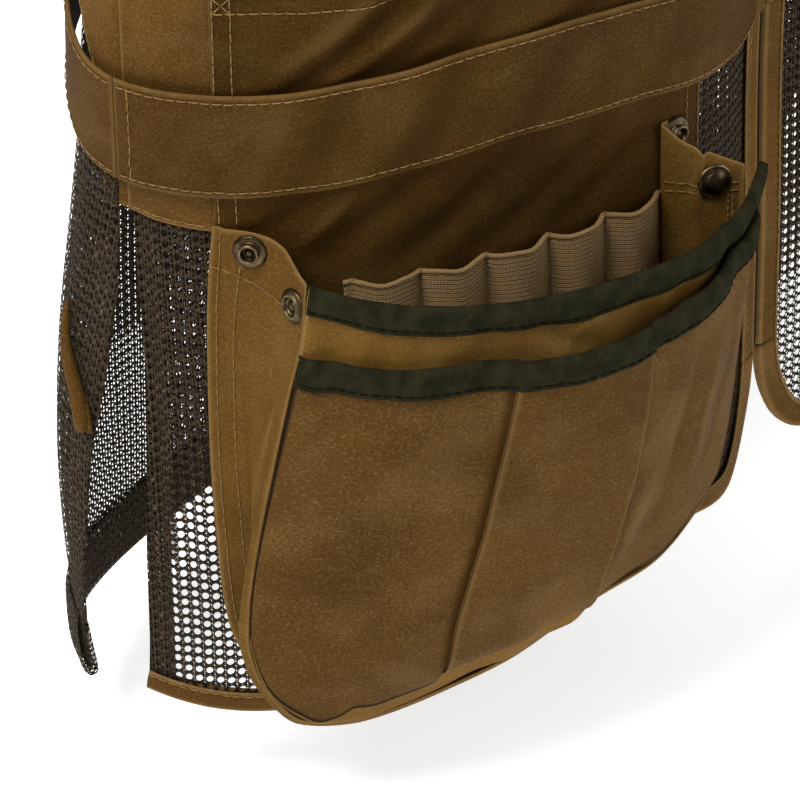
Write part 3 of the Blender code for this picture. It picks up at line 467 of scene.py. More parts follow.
given, result = effect("waxed twill", "Colour Roughness Height", Rim=0.02, Worn=0.5,
                       Base=(0.142, 0.071, 0.0146), Shade=(0.050, 0.0216, 0.0035),
                       Rubbed=(0.260, 0.158, 0.057), Fold=0.0, Seam=0.0)
place = given["Place"]
x, y = parts(place)
weave = wave(y, 0.00070) * 0.35 + wave(y - x * 1.2, 0.00105) * 0.65
broad = speckle(place, 17.0, 3.0, 0.6)
fine = speckle(place, 160.0, 3.0, 0.65)
grain = speckle(place, 900.0)
colour = blend(step_between(broad, 0.28, 0.75), given["Shade"], given["Base"])
colour = blend(0.3, colour, given["Base"])
worn = given["Worn"] * (fine * 0.8 + 0.35)
for value, low, high, share, tint in ((speckle(place, 26.0), 0.46, 0.70, 0.22, "Rubbed"),
                                      (fine, 0.40, 0.80, 0.14, "Rubbed"),
                                      (weave, 0.70, 0.15, 0.62, "Shade"),
                                      (grain, 0.45, 0.70, 0.50, "Shade"),
                                      (grain, 0.46, 0.30, 0.22, "Rubbed"),
                                      (speckle(place, 620.0, 2.0, 0.7), 0.64, 0.74, 0.60, "Rubbed"),
                                      (given["Rim"], 0.0024, 0.0002, worn, "Rubbed"),
                                      # painted highlight on the ridges of the folds and painted shade in
                                      # their troughs
                                      (given["Fold"], 0.0002, 0.0022, 0.35, "Rubbed"),
                                      (given["Fold"], -0.0004, -0.0040, 0.70, "Shade")):
    colour = blend(step_between(value, low, high) * share, colour, given[tint])
# painted shadow: the cloth darkens in a band just in from its rim, for the shade in the groove beside a seam
seam_groove_shadow = step_between(given["Rim"], 0.0042, 0.0014) * given["Seam"]
feed(result["Colour"], blend(seam_groove_shadow, colour, (0.010, 0.0045, 0.0010)))
feed(result["Roughness"], broad * 0.24 + 0.58)
feed(result["Height"], grain * 0.25 + (weave * 0.22 + fine * 0.55))


def waxed_canvas(name, worn=0.55, **tints):
    return finish_with("waxed twill", name, 0.72, 0.04, 0.0005, Rim="rim", Fold="fold", Worn=worn, **tints)


CANVAS_FINISH = waxed_canvas("waxed_canvas")


def shell(name, node, place, across, up, thick=CANVAS_THICK, finish=CANVAS_FINISH, held="hung", rims="all",
          fold=0.0, lie=None):
    """Cloth with two faces and rolled rims. place gives its points for an off, counted from its inner
    face; a piece whose name ends in _l is the mirror of its twin."""
    across, up = np.broadcast_arrays(across, up)
    rows, width = across.shape
    middle = place(across, up, thick / 2)
    steps = np.linalg.norm(np.diff(middle, axis=0), axis=-1)
    start = np.concatenate([np.zeros((1, width)), np.cumsum(steps, 0)])
    steps = np.linalg.norm(np.diff(middle, axis=1), axis=-1)
    low = np.concatenate([np.zeros((rows, 1)), np.cumsum(steps, 1)], 1)
    reach = {"start": start, "end": start[-1:] - start, "low": low, "high": low[:, -1:] - low}
    rims = reach if rims == "all" else rims.split()
    far = np.minimum(1.0, np.minimum.reduce([reach[rim] for rim in rims]))
    closing = np.clip(np.minimum.reduce(list(reach.values())) / (ROLL * thick), 0.0, 1.0)
    half = thick / 2 * np.sqrt(np.clip(1.0 - (1.0 - closing) ** 2, 0.0, 1.0))
    points = np.concatenate([place(across, up, off).reshape(-1, 3)
                             for off in (thick / 2 + half, thick / 2 - half)])
    index = np.arange(across.size).reshape(rows, width)
    under = index + across.size
    for edge in (np.s_[0, :], np.s_[-1, :], np.s_[:, 0], np.s_[:, -1]):
        under[edge] = index[edge]
    faces = np.concatenate([quads(index), quads(under)[:, (0, 3, 2, 1)]])
    spread = np.tile(np.stack(lie or (across, up), -1).reshape(-1, 2), (2, 1))
    # the twill paints the fold mask as highlight on the ridges of the folds and shade in their troughs
    masks = {"rim": np.tile(far.ravel(), 2), "fold": np.tile(np.broadcast_to(fold, across.shape).ravel(), 2)}
    used = np.zeros(2 * across.size, bool)
    used[faces.ravel()] = True
    faces = (np.cumsum(used) - 1)[faces]
    masks = {mask: values[used] for mask, values in masks.items()}
    piece = build(name, points[used], faces, spread[used], masks, finish, name.endswith("_l"))
    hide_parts(node)


def shells(name, node, *how, **options):
    """The same cloth on both sides."""
    for side in SIDES:
        shell(f"{name}_{side}", f"{node}_{side}", *how, **options)


def mottled(name, roughness, shine, scale, first, second):
    """A plain material of two colours; returns it, the ends of its shader and the place."""
    made, ends, place = finish_of(name, roughness, shine, on_cloth=False)
    feed(ends["Base Color"], blend(speckle(place, scale), first, second))
    return made, ends, place


THREAD_FINISH, ends, place = mottled("tan_thread", 0.62, 0.15, 260.0,
                                     (0.10, 0.055, 0.016), (0.33, 0.205, 0.078))
bump(ends, speckle(place, 3800.0), 0.0002, 0.6)
SEWN = []                           # the stitches of every seam, kept to be joined as a few pieces


def between(values, lengths, at):
    """The values along a line, read at other lengths."""
    return np.stack([np.interp(at, lengths, values[:, k]) for k in range(3)], -1)


def sew(place, across, up, off, stitch=STITCH, radius=THREAD_RADIUS, sides="rl", loose=1.0):
    """A row of even stitches along a line of a chart, standing on cloth whose face is off out."""
    across, up, off = np.broadcast_arrays(np.asarray(across, float), np.asarray(up, float), off)
    points = place(across, up, off)
    lengths = distances(points)
    count = max(1, int(lengths[-1] / stitch))
    at = np.arange(count + 1) * lengths[-1] / count
    normals = between(unit(place(across, up, off + 0.001) - points), lengths, at)
    points = between(points, lengths, at)
    for side in sides:
        SEWN.append((points * SIDES[side], normals * SIDES[side], radius, loose))


def join_seams(name, finish=THREAD_FINISH):
    """Makes the seams sewn since the last call into one piece. Each stitch rises from one needle hole
    and sinks in the next; it is a tube of four lengths with five sides."""
    shares = np.array((0.03, 0.22, 0.50, 0.78, 0.97))
    rise = np.array((-0.0002, 0.00026, 0.00036, 0.00026, -0.0002))
    girth = np.array((0.55, 0.95, 1.05, 0.95, 0.55))
    turns = np.arange(5) * 2 * math.pi / 5
    random = np.random.default_rng(11)
    index = np.arange(25).reshape(5, 5)
    one = quads(np.c_[index, index[:, :1]])
    points, faces, first = [], [], 0
    for places, normals, radius, loose in SEWN:
        start, way = places[:-1], places[1:] - places[:-1]
        out = unit(normals[:-1] + normals[1:])
        side = unit(np.cross(way, out))
        count = len(start)
        skew = random.normal(0.0, 0.00009 * loose, (count, 2))
        puff = 1.0 + random.normal(0.0, 0.12, count)
        rings = []
        for share, lift, fat in zip(shares, rise, girth):
            drift = skew[:, :1] * (1 - share) + skew[:, 1:] * share
            middle = start + way * share + out * (lift * puff)[:, None] + side * drift
            rings += [middle + (side * math.cos(turn) + out * math.sin(turn)) * radius * fat
                      for turn in turns]
        points.append(np.stack(rings, 1).reshape(-1, 3))
        faces.append((one[None] + 25 * np.arange(count)[:, None, None]).reshape(-1, 4) + first)
        first += 25 * count
    SEWN.clear()
    build(name, np.concatenate(points), np.concatenate(faces), np.zeros((first, 2)), {}, finish)


FRONT_CUT = columns("rise neck arm",
    (0, 3.5, 304.5), (420, 3.5, 304.5), (445, 3.5, 280), (470, 3.5, 238), (500, 3.5, 205), (540, 3.5, 183),
    (580, 3.5, 173), (610, 12, 169), (640, 28, 168), (680, 55, 172), (710, 68, 176), (735, 74, 178))
SHOULDER_LAP = columns("over back down", (0, 0, 0), (3.8, 3.8, 0.1), (9.5, 9, 2.5))
CANVAS_HEM = columns("arc rise",
    (3.5, 248), (82, 248), (145, 238), (208, 225), (268, 218.4), (304.5, 219.7))
SIDE_SEAM_ARC = 0.3045


def front_cut(rise, name):
    return np.interp(rise, FRONT_CUT["rise"], FRONT_CUT[name])


def front_place(off):
    """The front's chart at a depth; past the shoulder it goes on over the back as the seam's lap."""
    def place(arc, rise, depth):
        points = on_front(arc, np.minimum(rise, SHOULDER_TOP), off + depth)
        over = np.maximum(0.0, rise - SHOULDER_TOP) + 0.0 * points[..., 0]
        points[..., 1] += curve(over, SHOULDER_LAP["over"], SHOULDER_LAP["back"])
        points[..., 2] -= curve(over, SHOULDER_LAP["over"], SHOULDER_LAP["down"])
        return points
    return place


share = lines(0.300, 0.0042)[:, None]
low = curve(FRONT_EDGE_ARC + share * (SIDE_SEAM_ARC - FRONT_EDGE_ARC), *CANVAS_HEM.values())
rise = low + lines(0.500, 0.0046)[None, :] * (SHOULDER_TOP + SHOULDER_LAP["over"][-1] - low)
neck, arm = front_cut(rise, "neck"), front_cut(rise, "arm")
arc = neck + share * (arm - neck)
shells("front_canvas_cloth", "front_canvas", front_place(CANVAS_OFF), arc, rise, rims="low end",
       fold=folds(arc, rise, FRONT_FOLDS))
arc = np.linspace(0.215, 0.3020, 40)
sew(on_front, arc, curve(arc, *CANVAS_HEM.values()) + 0.0024, CANVAS_OFF + CANVAS_THICK)
sew(front_place(CANVAS_OFF), np.linspace(0.080, 0.174, 40), SHOULDER_TOP + 0.0072, CANVAS_THICK)

# Side panels: a narrow strip of the same cloth behind each front's side seam. Its rear edge is folded
# and free, with a row of stitches beside it, and its lower corner is rounded.
PANEL_START = SIDE_SEAM_ARC - 0.0012
PANEL_LOW, PANEL_HEIGHT = 0.2205, 0.1975
SIDE_PANEL = columns("rise rear",
    (220.5, 315), (226, 317.5), (270, 318.5), (305, 334), (340, 340), (380, 334), (410, 318), (418, 311))
SIDE_PANEL_OFF = CANVAS_OFF + 0.0006


def side_place(arc, rise, depth):
    """Places on the side panel, whose front edge dips under the front's."""
    dip = 0.0014 * np.clip((SIDE_SEAM_ARC + 0.0012 - arc) / 0.0018, 0.0, 1.0)
    return on_front(arc, rise, SIDE_PANEL_OFF + depth - dip)


rise = (PANEL_LOW + lines(PANEL_HEIGHT, 0.004) * PANEL_HEIGHT)[None, :]
arc = PANEL_START + lines(0.020, 0.0012)[:, None] * (np.interp(rise, *SIDE_PANEL.values()) - PANEL_START)
shells("side_panel_cloth", "side_panel", side_place, arc, rise, rims="end low")
rise = np.linspace(0.2260, 0.4100, 60)
sew(on_front, np.interp(rise, *SIDE_PANEL.values()) - 0.0026, rise, SIDE_PANEL_OFF + CANVAS_THICK)
join_seams("front_seams")

# Edge bindings: tape of the same cloth, folded round each raw edge and sewn through with one row of
# stitches. There is one up each front edge in two lengths, one round each hem, armhole and the neck.
BINDING_THICK = 0.0011
BINDING_WIDTH = 0.0105
BINDING_SEAM = 0.0088               # from the edge to its stitches
BINDING_FOLD = 0.0006               # of the tape past the edge that it holds
HEM_BINDING_WIDTH = 0.0080
TAIL_BINDING_WIDTH = 0.0150
FRONT_EDGE_LOW = 0.0795
NECK_RISE = 0.580
BACK_RISES = (0.420, 0.432, 0.445, 0.457, 0.470, 0.500, 0.540, 0.600)
UPPER_RISES = (0.420, 0.445, 0.470, 0.500, 0.540, 0.580, 0.610, 0.640, 0.680, 0.710, SHOULDER_TOP)
BINDING_FINISH = waxed_canvas("waxed_binding", worn=0.85)


def rounded(line, step=0.004):
    """A smooth line of places through the corners of another, at even steps."""
    line = np.asarray(line, float)
    padded = np.concatenate([2 * line[:1] - line[1:2], line, 2 * line[-1:] - line[-2:-1]])
    places = []
    for k in range(len(line) - 1):
        a, b, c, d = padded[k:k + 4]
        count = max(2, int(round(np.linalg.norm(c[:2] - b[:2]) / step)))
        t = (np.arange(count) / count)[:, None]
        places.append(0.5 * (2 * b + (c - a) * t + (2 * a - 5 * b + 4 * c - d) * t**2
                             + (3 * b - a - 3 * c + d) * t**3))
    return np.concatenate(places + [line[-1:]])


def inwards(places, side=1.0, first=None, last=None):
    """The way in from an edge to its cloth, which lies to the right of the line or to its left."""
    along = unit(np.gradient(places, axis=0))
    ways = np.stack([along[:, 1] * side, -along[:, 0] * side], -1)
    if first is not None:
        ways[0] = first
    if last is not None:
        ways[-1] = last
    return ways


def tube(name, rings, spread, inset, finish, closed=False, mirrored=False):
    """A surface over a row of rings of points, with its ends filled or, if closed, joined."""
    count, size = rings.shape[:2]
    index = np.arange(count * size).reshape(count, size)
    index = np.r_[index, index[:1]] if closed else index
    masks = {"rim": np.tile(inset, count), "fold": np.zeros(count * size)}
    piece = build(name, rings.reshape(-1, 3), quads(np.c_[index, index[:, :1]]), spread.reshape(-1, 2),
                  masks, finish, mirrored)
    shape = bmesh.new()
    shape.from_mesh(piece.data)
    if not closed:
        bmesh.ops.holes_fill(shape, edges=shape.edges, sides=0)
    bmesh.ops.recalc_face_normals(shape, faces=shape.faces)
    shape.to_mesh(piece.data)
    shape.free()
    return piece


def tape(name, node, stretches, outer, inner, width=BINDING_WIDTH, finish=BINDING_FINISH, closed=False,
         puff=0.0003, seam=BINDING_SEAM):
    """Tape folded round an edge. A stretch is a chart, places on it and ways in; outer and inner are the
    offs of the two legs' faces towards the cloth. The seam is a row of stitches at that inset."""
    thick, mirrored = BINDING_THICK, name.endswith("_l")
    fold = BINDING_FOLD + thick
    top, bottom = outer + thick, inner - thick
    middle, round_ = (top + bottom) / 2, (top - bottom) / 2
    profile = [(width - 0.0002, outer), (width, outer + 0.5 * thick), (width - 0.0006, top)]
    profile += [(width * share, top + puff * math.sin(math.pi * share) - (0.0003 if share == 0.78 else 0.0))
                for share in (0.78, 0.55, 0.3, 0.12)]
    profile += [(-fold + round_ * 0.55 - round_ * 0.55 * math.cos(turn), middle + round_ * math.sin(turn))
                for turn in np.linspace(math.pi / 2, -math.pi / 2, 7)]
    profile += [(width * share, bottom) for share in (0.3, 0.8)]
    profile += [(width, inner - 0.5 * thick), (width - 0.0002, inner), (-BINDING_FOLD, inner),
                (-BINDING_FOLD, outer)]
    profile = np.array(profile)
    rings, spreads, travelled = [], [], 0.0
    for chart, places, ways in stretches:
        u = places[:, :1] + ways[:, :1] * profile[None, :, 0]
        v = places[:, 1:2] + ways[:, 1:2] * profile[None, :, 0]
        rings.append(chart(u, v, np.broadcast_to(profile[None, :, 1], u.shape)))
        travel = travelled + distances(rings[-1][:, 3])
        travelled = travel[-1]
        spreads.append(np.stack(np.broadcast_arrays(travel[:, None], profile[None, :, 0]), -1))
        if seam:
            row = places + ways * seam
            sew(chart, row[:, 0], row[:, 1], top + 0.0001, sides="l" if mirrored else "r")
    rings = np.concatenate(rings)
    inset = np.minimum(np.abs(profile[:, 0] - width), np.abs(profile[:, 0] + fold) * 0.7)
    piece = tube(name, rings, np.concatenate(spreads), inset, finish, closed, mirrored)
    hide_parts(node)


for side in SIDES:
    for part, low, high, outer in (("low", FRONT_EDGE_LOW, 0.2417, 0.0016),
                                   ("high", 0.2420, NECK_RISE, 0.0036)):
        rise = np.r_[np.arange(low, high, 0.004), high]
        places = np.stack([np.full(len(rise), FRONT_EDGE_ARC), rise], -1)
        tape(f"front_edge_{part}_tape_{side}", f"front_edge_{part}_{side}",
             [(on_front, places, inwards(places))], outer, -0.0006)
    corner = np.stack(list(FRONT_HEM.values()), -1)[::-1]
    corner[0, 0] = 0.3116
    places = rounded(corner, 0.003)
    taper = np.interp(places[:, 0], (0.020, 0.060), (1.0, HEM_BINDING_WIDTH / BINDING_WIDTH))[:, None]
    tape(f"hem_tape_{side}", f"hem_binding_{side}", [(on_front, places, inwards(places) * taper)],
         0.0017, -0.0007)
    front = rounded([(float(front_cut(rise, "arm")), rise) for rise in UPPER_RISES[::-1]])
    high = np.r_[BACK_RISES, 0.600 + np.array((0.30, 0.56, 0.78, 1.0)) * (SHOULDER_TOP - 0.600)]
    back = rounded([(float(back_reach(rise)), rise) for rise in high])
    tape(f"armhole_tape_{side}", f"armhole_binding_{side}",
         [(on_front, front, inwards(front, last=(0.0, -1.0))),
          (on_back, back, inwards(back, -1.0, first=(0.0, -1.0)))], 0.0049, -0.0012, closed=True)

neck = rounded([(float(front_cut(rise, "neck")), rise) for rise in (0.5806, *UPPER_RISES[6:])])
nape = rounded([(share * float(back_reach(back_top(share))), float(back_top(share)))
                for share in (0.415, 0.30, 0.16, 0.0, -0.16, -0.30, -0.415)])
left = neck[::-1] * MIRROR[:2]
tape("neck_tape", "neck_binding",
     [(on_front, neck, inwards(neck, first=(1.0, 0.0))), (on_back, nape, inwards(nape, -1.0)),
      (on_front, left, inwards(left, last=(-1.0, 0.0)))], 0.0042, -0.0012)

share = np.linspace(1.0, -1.0, 150)
places = np.stack([share * (float(back_reach(0.0)) - 0.0004), tail_rise(share)], -1)
tape("tail_tape", "back_hem_binding", [(on_back, places[4:-4], inwards(places)[4:-4])], 0.0012, -0.0012,
     TAIL_BINDING_WIDTH, seam=None)

turn = np.array(((26.0, 1.2), (20.0, 2.6), (10.0, 3.0), (2.0, 3.1), (-1.0, 2.8), (-2.6, 1.4), (-2.9, 0.0),
                 (-2.6, -1.4), (-1.0, -2.8), (2.0, -3.1), (10.0, -3.0), (20.0, -2.6), (26.0, -1.2))) / 1000.0
places = np.repeat(places[:, None], len(turn), 1)
points = on_back(places[..., 0], places[..., 1] + turn[:, 0], turn[:, 1])
spread = np.stack(np.broadcast_arrays(places[..., 0], distances(turn)), -1).reshape(-1, 2)
none = np.zeros(len(spread))
index = np.arange(len(spread)).reshape(points.shape[:2])
piece = build("tail_turn", points.reshape(-1, 3), quads(index), spread,
              {"turned_edge": none + 1.0, "closed": none, "snug": none}, KNIT_FINISH)
join_seams("binding_seams")

# Front zip: a closed zip between the two edge bindings, seen as a dark line. Its tape is behind the
# bindings, and only the row of small teeth shows.
ZIP_FINISH, ends, place = finish_of("zip_tape", 0.75, 0.05)
tooth = wave(parts(place)[1], 0.0021)
dark = blend(tooth, (0.003, 0.0025, 0.002), (0.020, 0.015, 0.010))
feed(ends["Base Color"], blend(speckle(place, 300.0), dark, (0.009, 0.007, 0.005)))
bump(ends, tooth, 0.0005)
shell("zip_teeth", "front_zip", front_place(-0.0006), np.linspace(-0.0014, 0.0014, 9)[:, None],
      np.linspace(FRONT_EDGE_LOW, NECK_RISE, 220)[None, :], 0.0024, ZIP_FINISH, held=None)

# Pocket backings: a panel of waxed cloth on each front, from the hem to above the belt. It is sewn on
# with two rows of stitches, 6.35 mm apart, along its sides and its top.
BACKING_OFF = 0.0035
BACKING = columns("arc low high",
    (61, 80, 340), (73, 50, 338), (82, 41, 336), (103, 33, 332), (124, 28, 328), (145, 24, 324),
    (166, 20.5, 322), (187, 16, 321), (208, 12, 320.5), (229, 9, 320), (249, 12, 320), (260, 24, 320),
    (268, 50, 320))
BACKING_SIDE = columns("rise arc",
    (24, 264), (31, 270.6), (43.6, 275.2), (57.6, 277.6), (76.2, 278.6), (94.5, 279.2), (130.6, 277.9),
    (165.1, 275.9), (190.6, 273.3), (221.4, 269.2), (240, 268), (320, 268))
BACKING_FIRST, BACKING_LAST = BACKING["arc"][0], BACKING["arc"][-1]
TWIN_GAUGE = 0.00635
SEAM_INSET = 0.0014
ON_BACKING = BACKING_OFF + CANVAS_THICK
# painted shade: the backing has its own darker copy of the twill, for the shade it lies in between the belt
# and the pocket
SHADED_BACKING_FINISH = waxed_canvas("backing_painted_shade", Base=(0.066, 0.030, 0.0042), Shade=(0.028, 0.012, 0.0014),
                              Rubbed=(0.155, 0.088, 0.026))

share = lines(0.207, 0.0026)[:, None]
arc = BACKING_FIRST + share * (BACKING_LAST - BACKING_FIRST)
low = np.interp(arc, BACKING["arc"], BACKING["low"])
high = np.interp(arc, BACKING["arc"], BACKING["high"])
low = np.where(share > 0.985, np.interp(share, (0.985, 1.0), (0.0200, 0.0290)), low)
rise = low + lines(0.300, 0.0030)[None, :] * (high - low)
side = curve(rise, *BACKING_SIDE.values())
arc = arc + np.clip((share - 0.85) / 0.15, 0.0, 1.0) * (side - BACKING_LAST)
shells("pocket_backing", "pocket_back", front_place(BACKING_OFF), arc, rise, finish=SHADED_BACKING_FINISH,
       fold=folds(arc, rise, FRONT_FOLDS))
for inset in (SEAM_INSET, SEAM_INSET + TWIN_GAUGE):
    sew(on_front, BACKING_LAST - inset, np.linspace(0.2230, 0.3200 - SEAM_INSET, 40), ON_BACKING)
    rise = np.linspace(0.0820 + 2.0 * inset, 0.3400 - SEAM_INSET, 80)
    sew(on_front, BACKING_FIRST + inset, rise, ON_BACKING)
    arc = np.linspace(BACKING_FIRST + SEAM_INSET, BACKING_LAST - SEAM_INSET, 70)
    sew(on_front, arc, np.interp(arc, BACKING["arc"], BACKING["high"]) - inset, ON_BACKING)
for start, end in ((0.3186, 0.3123), (0.3123, 0.3186)):
    sew(on_front, np.linspace(0.2666, 0.2603, 6), np.linspace(start, end, 6), ON_BACKING)
join_seams("backing_seams")

# Belt: a double band of the waxed cloth round the whole vest, with a row of stitches along both of
# its edges. It lies on the fronts, is seamed at each side, and goes round the back a little loose.
BELT_HEIGHT = 0.0435
BELT_THICK = 0.0020
BELT_START = 0.0150
REAR_BELT_START = SIDE_SEAM_ARC + 0.0003
REAR_BELT_RISE = 0.29
BELT_STITCHES = 0.0028              # from either edge
BELT = columns("arc low off",
    (15, 242.5, 3.7), (30, 240.5, 4.2), (45, 239.5, 5.2), (61, 238.8, 5.8), (110, 243.5, 5.8),
    (156, 244.5, 5.8), (200, 240.5, 5.8), (250, 236.5, 5.8), (292.5, 235, 6), (304.5, 234.5, 6),
    (315, 235.2, 5.6), (325, 238, 5.2), (335, 244, 4.8), (350, 255, 4.2), (370, 264, 3.8), (410, 271, 3.4),
    (460, 275, 3.2), (600, 278, 3.2))
BELT_FOLDS = columns(FOLD_COLUMNS,
    (290, -4, 270, 50, 7, -0.6), (268, -20, 232, 60, 10, 0.4), (250, -20, 210, 60, 8, -1.1),
    (212, -20, 165, 60, 11, -1.3), (165, -20, 115, 60, 11, -1.2), (100, -16, 60, 58, 9, -0.9))


def on_belt(arc, height, depth=0.0):
    """Points on the belt: height counts from its lower edge."""
    arc, height, depth = np.broadcast_arrays(arc, height, depth)
    reach = np.abs(arc)
    rise = curve(reach, BELT["arc"], BELT["low"]) + height
    off = curve(reach, BELT["arc"], BELT["off"]) + folds(reach, height, BELT_FOLDS) + depth
    return on_body(arc, rise, off)


def on_rear_belt(arc, height, depth):
    """The belt behind the two side seams; past the centre back it is the mirror of the first half."""
    past = arc > girth
    points = on_belt(np.where(past, 2 * girth - arc, arc), height, depth)
    points[..., 0] = np.where(past, -points[..., 0], points[..., 0])
    nearest = 1.0 - np.clip(np.abs(arc - girth) / 0.04, 0.0, 1.0)
    points[..., 0] *= 1.0 - nearest * np.exp(-(np.abs(arc - girth) / 0.004) ** 2)
    return points


BELT_FINISH = waxed_canvas("waxed_belt", Base=(0.088, 0.042, 0.0078), Shade=(0.034, 0.014, 0.0022),
                           Rubbed=(0.200, 0.118, 0.038))
height = lines(BELT_HEIGHT, 0.0027)[None, :] * BELT_HEIGHT
arc = BELT_START + lines(0.2895, 0.0030)[:, None] * (SIDE_SEAM_ARC - BELT_START)
# painted light and shade: the belt's folds are painted 2.4 times as strongly as its folds' height
shells("belt_front_band", "belt_front", on_belt, arc, height, BELT_THICK, BELT_FINISH,
       fold=folds(arc, height, BELT_FOLDS) * 2.4)
girth = float(np.interp(REAR_BELT_RISE, RISES, girths))
long_way = 2 * (girth - REAR_BELT_START)
arc = REAR_BELT_START + lines(long_way, 0.0019)[:, None] * long_way
shell("belt_rear_band", "belt_back", on_rear_belt, arc, height, BELT_THICK, BELT_FINISH)
for level in (BELT_STITCHES, BELT_HEIGHT - BELT_STITCHES):
    for start, end in ((0.0170, 0.3030), (0.3060, girth - 0.001)):
        sew(on_belt, np.linspace(start, end, 120), level, BELT_THICK)
sew(on_belt, 0.2975, np.linspace(BELT_STITCHES, BELT_HEIGHT - BELT_STITCHES, 20), BELT_THICK, loose=1.6)
join_seams("belt_seams")

# Pocket gusset: one strip of the cloth from ear to ear, which makes the pocket stand out from its
# backing. Both ears are hemmed and stand up above the pocket's mouth, with its snaps pressed through.
# painted light: the gusset has its own lighter copy of the twill, for the light falling on its side of the
# pocket
LIT_GUSSET_FINISH = waxed_canvas("waxed_pocket", Base=(0.172, 0.090, 0.0180), Shade=(0.068, 0.031, 0.0050))
GUSSET_THICK = 0.0011
GUSSET_START = 0.0067
GUSSET_HEIGHT = 0.030
EAR_LIFT = 0.0036
EAR_TOP = ((0.0, 0.3, 0.5, 0.62, 0.74, 0.86, 1.0), (0.0, 0.9, 1.22, 1.10, 0.20, -0.45, 0.0))
GUSSET = columns("arc_in rise_in arc_out rise_out off_out flat fold",
    (265, 222.5, 238.5, 208.5, 25.7, 1, 0), (265, 201, 241, 189, 25.8, 1, 0),
    (265, 170, 247, 166, 26.3, 1, 0), (265, 114.5, 258.8, 114.5, 22.8, 0.8, 0),
    (264.2, 65, 267, 65, 20.8, 0.3, 0), (263.2, 50, 268, 50, 20.8, 0, 0), (260, 39, 266, 35, 20.8, 0, 0),
    (254, 29, 260.5, 22.6, 20.9, 0, 0), (245, 21.5, 250.8, 11, 21, 0, 0),
    (229, 18.5, 232.5, 8.5, 21.3, 0, 0), (193, 24, 193, 16, 21.8, 0, 0), (172, 27.5, 172, 20.5, 22, 0, 0),
    (131, 33.5, 131, 35.2, 22.6, 0, 0), (107, 39, 105, 39.5, 22.9, 0, 0), (95.5, 48, 87, 50, 23.1, 0, 0),
    (88, 64, 74.5, 65, 23.3, 0, 0.5), (85, 90, 69.5, 90, 25.2, 0, 1), (84, 130, 65.5, 130, 26.7, 0, 2),
    (83.6, 170, 62.5, 166, 27.4, 0, 3), (83.6, 201, 60.5, 185, 26, 0, 3.5),
    (83.6, 222, 60, 206, 25.5, 0, 3.5))
LAST_ROW = len(GUSSET["arc_in"]) - 1
ROWS = np.arange(LAST_ROW + 1)
WELT = columns("station width",
    (0, 0), (1.5, 0), (3.5, 2.6), (5, 3.6), (10, 3.4), (15, 2.6), (17, 1), (18, 0), (20, 0))
WELT_TURN = 1.12                    # share at which the welt has turned back under the patch
FLANGE = columns("station width",
    (0, 4), (1, 7), (2, 10.5), (3, 13.8), (4, 13.8), (5, 13.2), (6, 13), (7, 11), (8, 8.5), (9, 6.5),
    (12, 6), (20, 4))
FLANGE_SHARE = 0.5                  # of the flange's edge, below zero; it lies flat on the backing
FLANGE_DROP = 0.0010
OUTER_EAR_FOLDS = columns(FOLD_COLUMNS,
    (52, 21.5, 98, 8, 1.3, -1), (60, 24, 112, 12, 1.2, 0.8), (46, 18, 66, 15, 0.9, 0.6),
    (72, 25, 128, 15, 1.4, -1), (90, 12, 150, 5, 1.8, 0.7))
INNER_EAR_FOLDS = columns(FOLD_COLUMNS, (0, 12.5, 30, 10.5, 1.6, -1.8), (0, 16.5, 24, 15, 1.5, 1.2))
INNER_EAR_TOP = columns("share lift",
    (0, 5), (0.08, 4), (0.22, 1.6), (0.38, 1.2), (0.46, -1.2), (0.54, 1.4), (1, 1))


def on_gusset(station, share):
    """Places on the gusset: station counts rows of the table, share runs from backing to front."""
    station, share = np.broadcast_arrays(station, share)
    row = {name: curve(station, ROWS, GUSSET[name]) for name in GUSSET}
    inner = np.clip(share, 0.0, 1.0)
    sideways = 1.0 - np.clip(1.0 - share, 0.0, 1.0) ** (1.0 + 0.6 * row["flat"])
    outwards = inner ** (1.0 + 1.2 * row["flat"])
    fold = row["fold"] * np.maximum(0.0, 1.0 - np.abs(share - 0.41) / 0.41)
    ear = EAR_LIFT * curve(share, *EAR_TOP) * np.maximum(0.0, 1.0 - station)
    peak = curve(share, *INNER_EAR_TOP.values()) * np.maximum(0.0, station - LAST_ROW + 1.0)
    swell = curve(station, *WELT.values()) * np.sin(math.pi * np.clip((share - 0.76) / 0.36, 0.0, 1.0))
    swell = swell + np.clip(-share / FLANGE_SHARE, 0.0, 1.0) * curve(station, *FLANGE.values())
    along = unit(np.stack([np.interp(station, ROWS, np.gradient(GUSSET[name]))
                           for name in ("arc_out", "rise_out")], -1))
    arc = row["arc_in"] + sideways * (row["arc_out"] - row["arc_in"]) - along[..., 1] * swell
    rise = row["rise_in"] + inner * (row["rise_out"] - row["rise_in"]) + ear + peak + along[..., 0] * swell
    off = GUSSET_START + outwards * (row["off_out"] - GUSSET_START) + fold
    off = off + np.clip(share - 1.0, 0.0, 1.0) * 0.016 - FLANGE_DROP * np.clip(-share / 0.15, 0.0, 1.0)
    return on_body(arc, rise, off)


stations = np.linspace(0.0, LAST_ROW, 400)
along_gusset = distances(on_gusset(stations, 0.5))


def gusset_length(station):
    """How far a station is from the outer ear's top, along the strip."""
    return np.interp(station, stations, along_gusset)


def station_at(run):
    return np.interp(run, along_gusset, stations)


def gusset_folds(run, share):
    """Heights of the small folds of the outer and of the inner ear."""
    height = share * GUSSET_HEIGHT
    return folds(run, height, OUTER_EAR_FOLDS), folds(along_gusset[-1] - run, height, INNER_EAR_FOLDS)


